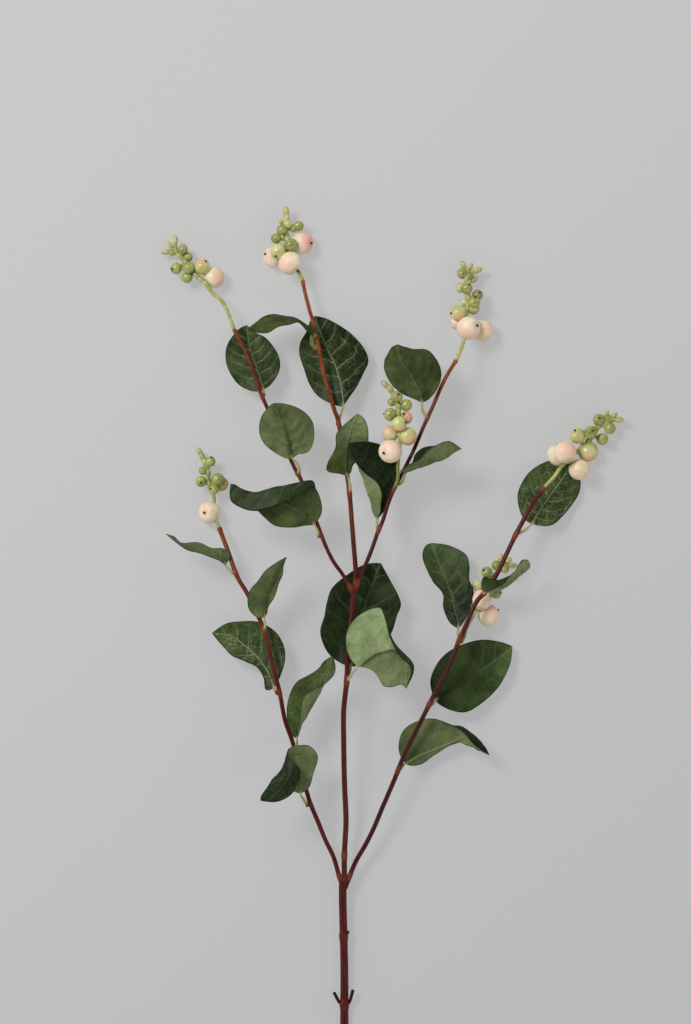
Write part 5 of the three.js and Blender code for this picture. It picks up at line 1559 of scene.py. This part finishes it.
for seed, (name, cluster) in enumerate(CLUSTERS.items()):
    stalk, fruit = cluster["stalk"], cluster["fruit"]
    starts = [leaving_place(stalk, kind, place) for kind, place, *_ in fruit]
    values = {**STALK_SHAPE, "Knuckles": knuckles(name + " knuckles", starts)}
    dusk = DUSK.get(name, 0)
    meshes = [swept("stalk", stalk, STALK_RADII, values, sleeve=SHORT_SLEEVE, faded=0, dusk=dusk)]
    for start, (kind, place, radius, *_) in zip(starts, fruit):
        if kind == "bud" or np.linalg.norm(start - place) > radius:
            thin = {**values, **PEDICEL_SHAPE}
            meshes.append(swept("pedicel", [start, place], PEDICEL_RADII, thin,
                                sleeve=NO_SLEEVE, faded=0, dusk=0))
    fruit = fruit + knobs(stalk, seed)
    for label, buds, look in (("berries", False, BERRY_LOOK), ("buds", True, BUD_LOOK)):
        meshes.append(grown(berry_points(label, stalk, fruit, buds, seed), BERRIES, look))
    finished(name, meshes)

# %% [markdown]
# ## Leaf blades
# A blade is a grid of places. A smooth curve is laid through each row of the table, and then a
# smooth curve along the leaf through each column. The grid is finest beside the rib.

# %% Curves through a blade's places
CELL = 0.8
HALF_COLUMNS = 26
FINER_AT_RIB = 1.2
EASED_STEPS = 0.75
SHARES = np.linspace(-1, 1, 2 * HALF_COLUMNS + 1)
SPREAD = np.sign(SHARES) * np.abs(SHARES) ** FINER_AT_RIB


def places_of(row):
    """A table's row as places, one line for each."""
    return np.reshape(row, (-1, 3)).astype(float)


def across_row(row):
    """A smooth curve through a row's places, read at shares from -1, its left, to 1, its right."""
    places = places_of(row)
    padded = np.array([2 * places[0] - places[1], *places, 2 * places[-1] - places[-2]])
    reach = (SPREAD + 1) / 2 * (len(places) - 1)
    index = np.minimum(reach.astype(int), len(places) - 2)
    t = (reach - index)[:, None]
    a, b, c, d = (padded[index + step] for step in range(4))
    bend, twist = 2 * a - 5 * b + 4 * c - d, 3 * b - a - 3 * c + d
    return 0.5 * (2 * b + (c - a) * t + bend * t ** 2 + twist * t ** 3)


def along_columns(ladder):
    """A smooth curve through each column of a ladder of rows, as a finer ladder."""
    rungs = np.linalg.norm(np.diff(ladder, axis=0), axis=2).mean(axis=1)
    steps = (rungs ** EASED_STEPS)[:, None, None]
    slopes = np.diff(ladder, axis=0) / steps
    middle = (steps[:-1] * slopes[1:] + steps[1:] * slopes[:-1]) / (steps[:-1] + steps[1:])
    first = 1.5 * slopes[:1] - 0.5 * middle[:1]
    last = 1.5 * slopes[-1:] - 0.5 * middle[-1:]
    tangents = np.concatenate([first, middle, last])
    finer = [ladder[:1]]
    for row, rung in enumerate(rungs):
        count = max(2, math.ceil(rung / CELL))
        t = (np.arange(1, count + 1) / count)[:, None, None]
        leave, arrive = t ** 3 - 2 * t ** 2 + t, t ** 3 - t ** 2
        start = (2 * t ** 3 - 3 * t ** 2 + 1) * ladder[row] + leave * tangents[row] * steps[row]
        end = (3 * t ** 2 - 2 * t ** 3) * ladder[row + 1] + arrive * tangents[row + 1] * steps[row]
        finer.append(start + end)
    return np.concatenate(finer)


def blade_grid(rows):
    """The grid of a blade. Its first row lies wholly at its base and its last one at its tip."""
    inner = [across_row(row) for row in rows[1:-1]]
    ends = [np.tile(np.array(end, float), (len(SPREAD), 1)) for end in (rows[0], rows[-1])]
    return along_columns(np.array([ends[0], *inner, ends[1]]))


first_grid = blade_grid(LEAVES["leaf_left_1"]["rows"])
print("the first leaf's grid:", len(first_grid), "rows of", len(SPREAD))

# %% [markdown]
# Each place of a blade knows how far along the leaf it is and how far from the rib. Its vein number
# grows towards the tip and falls towards the margin, so that the side veins bend forward. A little
# roughness keeps them from running like ruled lines.

# %% What each place of a blade knows
SIDE_VEINS = 6.5
VEIN_LEAN, VEIN_BEND, VEIN_OFFSET = 0.45, 0.35, 0.4


def rough(places):
    """Smooth noise at each place, from about -0.5 to 0.5."""
    flat = [noise.noise(place) for place in places.reshape(-1, 3).tolist()]
    return np.reshape(flat, places.shape[:-1]) * 0.5


def measured(grid, spots_height):
    """What a grid's places know, the leaf's length, and places of its own for its roughness."""
    steps = np.linalg.norm(np.diff(grid, axis=1), axis=2)
    rib = np.zeros(grid.shape[:2])
    rib[:, HALF_COLUMNS + 1:] = np.cumsum(steps[:, HALF_COLUMNS:], axis=1)
    rib[:, :HALF_COLUMNS] = -np.cumsum(steps[:, HALF_COLUMNS - 1::-1], axis=1)[:, ::-1]
    far = np.abs(rib)
    width = np.where(SPREAD > 0, far[:, -1:], far[:, :1])
    side = np.abs(SPREAD) * np.ones_like(far)
    rungs = np.linalg.norm(np.diff(grid[:, HALF_COLUMNS], axis=0), axis=1)
    reach = np.concatenate([[0], np.cumsum(rungs)])[:, None] * np.ones_like(far)
    length = reach[-1, 0]
    gap = length / SIDE_VEINS
    spots = np.stack([rib, reach, np.full_like(reach, spots_height)], axis=-1)
    wobble = 0.45 * rough(spots / 9) + 0.2 * rough(spots / 3.5)
    vein = (reach - VEIN_LEAN * far - VEIN_BEND * width * side ** 2) / gap
    vein = vein + wobble + np.where(SPREAD > 0, VEIN_OFFSET, 0)
    margin = np.minimum(width - far, 1.5 * np.minimum(reach, length - reach))
    knows = {"vein": vein, "rib": rib, "side": side, "reach": reach, "margin": margin,
             "tipwards": reach / length, "gap": np.full_like(reach, gap)}
    return knows, length, spots


print("the first leaf is", round(measured(first_grid, 0)[1]), "mm long")

# %% [markdown]
# The upper face sinks along the rib and the side veins and puffs up between them, the margins wave,
# and the whole blade is crumpled by a millimetre or so. On the underside the rib and the veins
# stand out.

# %% Relief of a blade
RIB_GROOVE, VEIN_GROOVE = (0.3, 0.9), (0.12, 0.7)
RIB_RIDGE, VEIN_RIDGE = (0.4, 0.6), (0.12, 0.6)
PUFF_HEIGHT = 0.15
WAVE_HEIGHT, WAVE_BENDS = 0.45, 17
END_FADE = 5


def bell(distance, height, width):
    """A soft ridge of a height, which fades over a width to both sides."""
    return height * np.exp(-(distance / width) ** 2)


def relief(knows, length, spots, crumpled, phase):
    """How far each place of a blade is lifted, and how far the rib and veins stand out below."""
    far, side, reach, vein = np.abs(knows["rib"]), knows["side"], knows["reach"], knows["vein"]
    apart = np.abs(vein - np.round(vein)) * knows["gap"]
    fade = np.clip(np.minimum(reach, length - reach) / END_FADE, 0, 1)
    side_fade = fade * (1 - side ** 2)
    groove = -bell(far, *RIB_GROOVE) - bell(apart, *VEIN_GROOVE) * side_fade
    puff = PUFF_HEIGHT * crumpled * np.sin(np.pi * vein) ** 2
    puff = puff * np.sqrt(side * (1 - side)) * 2 * fade
    bends = np.sin(reach / length * WAVE_BENDS + phase + np.where(SPREAD > 0, 2, 0))
    wave = WAVE_HEIGHT * side ** 3 * fade * bends
    crumples = 0.9 * rough(spots / 10 + 50) + 0.35 * rough(spots / 4 + 80)
    lift = (groove + puff + wave + crumples * crumpled) * fade
    ridge = bell(far, *RIB_RIDGE) * (1 - 0.7 * reach / length)
    return lift, ridge + bell(apart, *VEIN_RIDGE) * side_fade


print("rib groove in mm:", RIB_GROOVE[0], "and ridge below:", RIB_RIDGE[0])

# %% [markdown]
# The mesh of a blade has two faces and a rim around them. On each face the first row is a single
# point, the base, and the last row another, the tip.

# %% Mesh of a blade
LEAF_THICKNESS = 0.35
RIB_HALF_WIDTH = 1.5
TONES = ("pale", "lit", "veins", "net", "rib_tone")


def grid_normals(grid):
    """The way that the upper face of a grid looks, at each place."""
    sideways, forwards = np.gradient(grid, axis=1), np.gradient(grid, axis=0)
    sideways[0], sideways[-1] = sideways[1], sideways[-2]
    normals = unit(np.cross(sideways, forwards))
    normals[0], normals[-1] = unit(normals[1].mean(axis=0)), unit(normals[-2].mean(axis=0))
    return normals


def gathered(values):
    """One value for the base, those of the inner rows, and one for the tip."""
    rib = slice(HALF_COLUMNS, HALF_COLUMNS + 1)
    inner = values[1:-1].reshape(-1, *values.shape[2:])
    return np.concatenate([values[0, rib], inner, values[-1, rib]])


def blade_faces(rows_inside):
    """The faces of a blade: its upper face, the same ones below, turned over, and the rim."""
    count = len(SPREAD)
    last, tip = rows_inside - 1, 1 + rows_inside * count
    total = tip + 1

    def point(row, column):
        """The number of a point inside the blade."""
        return 1 + row * count + column

    faces = [(point(row, column), point(row, column + 1), point(row + 1, column + 1),
              point(row + 1, column)) for row in range(last) for column in range(count - 1)]
    faces += [(0, point(0, column + 1), point(0, column)) for column in range(count - 1)]
    faces += [(tip, point(last, column), point(last, column + 1)) for column in range(count - 1)]
    left, right = ([0, *(point(row, column) for row in range(rows_inside)), tip]
                   for column in (0, count - 1))
    rim = [(b, a, a + total, b + total) for a, b in zip(right[:-1], right[1:])]
    rim += [(a, b, b + total, a + total) for a, b in zip(left[:-1], left[1:])]
    return faces + [tuple(corner + total for corner in face[::-1]) for face in faces] + rim


def over_leaf(tone, from_rib, tipwards):
    """A tone at each place: one for the whole leaf, or one for each side and each end of it."""
    (base_left, base_right), (tip_left, tip_right) = np.broadcast_to(tone, (2, 2))
    turn = np.clip(from_rib / (2 * RIB_HALF_WIDTH) + 0.5, 0, 1)
    base = base_left + (base_right - base_left) * turn
    tip = tip_left + (tip_right - tip_left) * turn
    return base + (tip - base) * tipwards


def blade_mesh(name, rows, seed, look):
    """The mesh of a blade with two faces and a rim, and what its points know."""
    grid = blade_grid(rows)
    normals = grid_normals(grid)
    knows, length, spots = measured(grid, 7.3 * seed)
    lift, ridge = relief(knows, length, spots, look["crumpled"], 3 * seed)
    upper = gathered(grid + normals * (lift + LEAF_THICKNESS / 2)[..., None])
    lower = gathered(grid + normals * (lift - LEAF_THICKNESS / 2 - ridge)[..., None])
    # For lit and pale, the changes from side to side and end to end are painted light and shade.
    for tone in TONES:
        knows[tone] = over_leaf(look[tone], knows["rib"], knows["tipwards"])
    knows["seed"] = np.full(lift.shape, 7.0 * seed)
    knows["shade"] = np.full(lift.shape, float(look["shade"]))
    knows = {label: np.tile(gathered(values), 2) for label, values in knows.items()}
    knows["upper"] = np.repeat([1.0, 0.0], len(upper))
    places = placed(np.concatenate([upper, lower]))
    mesh = points_mesh(name, places, faces=blade_faces(len(grid) - 2), **knows)
    mesh.shade_smooth()
    mesh.materials.append(LEAF)
    return mesh


print("faces of the first leaf's blade:", len(blade_faces(len(first_grid) - 2)))

# %% [markdown]
# No two leaves look the same. On some the veins of the upper face stand out pale, on others they
# hardly show. The underside runs from dark olive to pale green, and its rib is darker or paler than
# the blade; a darker rib is painted shade. "lit" and "pale" hold the own tone of the upper face
# and of the underside together with painted light and shade, and veins below 0 paint a shadow into
# the rib's groove. Where a look changes over a leaf, it has one value for the left and one for the
# right of the rib, or a list of them for the base and another for the tip. "shade" puts a painted
# shadow along one side of the underside's rib. "petiole" makes the petiole thicker, "sleeve" is
# the length of its brown sleeve in millimetres, and "dusk" how strongly painted shade darkens it
# near its twig.

# %% Looks of the leaves
PLAIN_LOOK = {"veins": 0.1, "net": 0.35, "lit": 0, "pale": 0.35, "rib_tone": 0, "shade": 0,
              "crumpled": 1, "petiole": 1, "sleeve": 2, "dusk": 0}
LOOKS = {
    "leaf_left_1": {"veins": 0.03, "lit": 0.15, "pale": 0.42},
    "leaf_left_2": {"veins": 0.4, "net": 1, "lit": 0.8, "pale": 0.5},
    "leaf_left_3": {"veins": [[0.95, 0.6], [1, 0.9]], "net": 1, "lit": [[0, 0], [1, 0.8]]},
    "leaf_left_4": {"pale": 0.25, "rib_tone": -0.3, "shade": 1, "crumpled": 1.5},
    "leaf_left_5": {"lit": 0.1, "pale": 0.28},
    "leaf_centre_1": {"veins": [[0.1, 0.22], [0.3, 0.38]], "lit": [0, 0.25]},
    "leaf_centre_2": {"lit": 0.2, "pale": [[0.5, 1], [0.7, 1]], "rib_tone": -0.2, "shade": -1},
    "leaf_upper_left_1": {"veins": 0.45, "net": 0.1, "lit": 0.2, "pale": 0.1, "rib_tone": 0.25,
                          "petiole": 0.8},
    "leaf_upper_left_2": {"pale": [[0.48], [0.2]], "rib_tone": [[-1], [0.2]], "crumpled": 4.2,
                          "petiole": 1.2},
    "leaf_upper_left_3": {"veins": 0.75, "lit": 0.45},
    "leaf_upper_middle_1": {"pale": [[-0.35, -0.4], [0.9, 0.8]], "rib_tone": 0.1},
    "leaf_upper_middle_2": {"veins": 0.8, "net": 0.5, "lit": [0.25, 0]},
    "leaf_upper_middle_3": {"pale": 0, "rib_tone": -0.2, "petiole": 1.6, "sleeve": -4, "dusk": 1},
    "leaf_upper_right_1": {"veins": 0.08, "pale": 0.62},
    "leaf_upper_right_2": {"pale": 0.34, "petiole": 1.2, "dusk": 0.5},
    "leaf_upper_right_3": {"pale": [0.02, 0.14], "rib_tone": 0.4, "crumpled": 2.4},
    "leaf_right_1": {"pale": [[0.4, 0.2], [0.6, 0.5]], "rib_tone": 0.7, "crumpled": 1.4},
    "leaf_right_2": {"veins": [[-0.45], [0.55]], "net": 0.6, "lit": [[0.1, 0.15], [0.6, 0.95]]},
    "leaf_right_3": {"veins": 0.36, "net": 0.5, "lit": [[-0.2, -0.4], [1, 0.95]]},
    "leaf_right_4": {"lit": 0.5, "pale": 0.56},
    "leaf_right_5": {"veins": 0.95, "net": 1, "lit": [0.65, 0.45]},
}
print("leaves whose look changes over them:",
      sum(any(isinstance(tone, list) for tone in look.values()) for look in LOOKS.values()))

# %% Leaves, finished
PETIOLE_RADII = np.array([1.0, 0.95, 0.85, 0.65, 0.25])
PETIOLE_END = 0.4
PETIOLE_SHAPE = {"Sides": 12, "Step": 0.8 * MM, "Knuckles": twig_knuckles, "Swelling": 0.3,
                 "Reach": 2 * MM, "Bumps": 0.1 * MM, "Material": STALK}
SEED_STEP = 1.7

for number, (name, leaf) in enumerate(LEAVES.items()):
    look = {**PLAIN_LOOK, **LOOKS[name]}
    blade = blade_mesh(name, leaf["rows"], number * SEED_STEP, look)
    first, second = (places_of(row) for row in leaf["rows"][:2])
    base, ahead = first[0], second[len(second) // 2]
    line = [*leaf["petiole"][:-1], base, base + PETIOLE_END * (ahead - base)]
    petiole = swept("petiole", line, PETIOLE_RADII * look["petiole"], PETIOLE_SHAPE,
                    sleeve=look["sleeve"], faded=1, dusk=look["dusk"])
    finished(name, [blade, petiole])

# %% [markdown]
# ## The end
# The small meshes of knuckles go.

# %% The end
for helper in [thing for thing in bpy.data.objects if "knuckles" in thing.name]:
    bpy.data.objects.remove(helper)
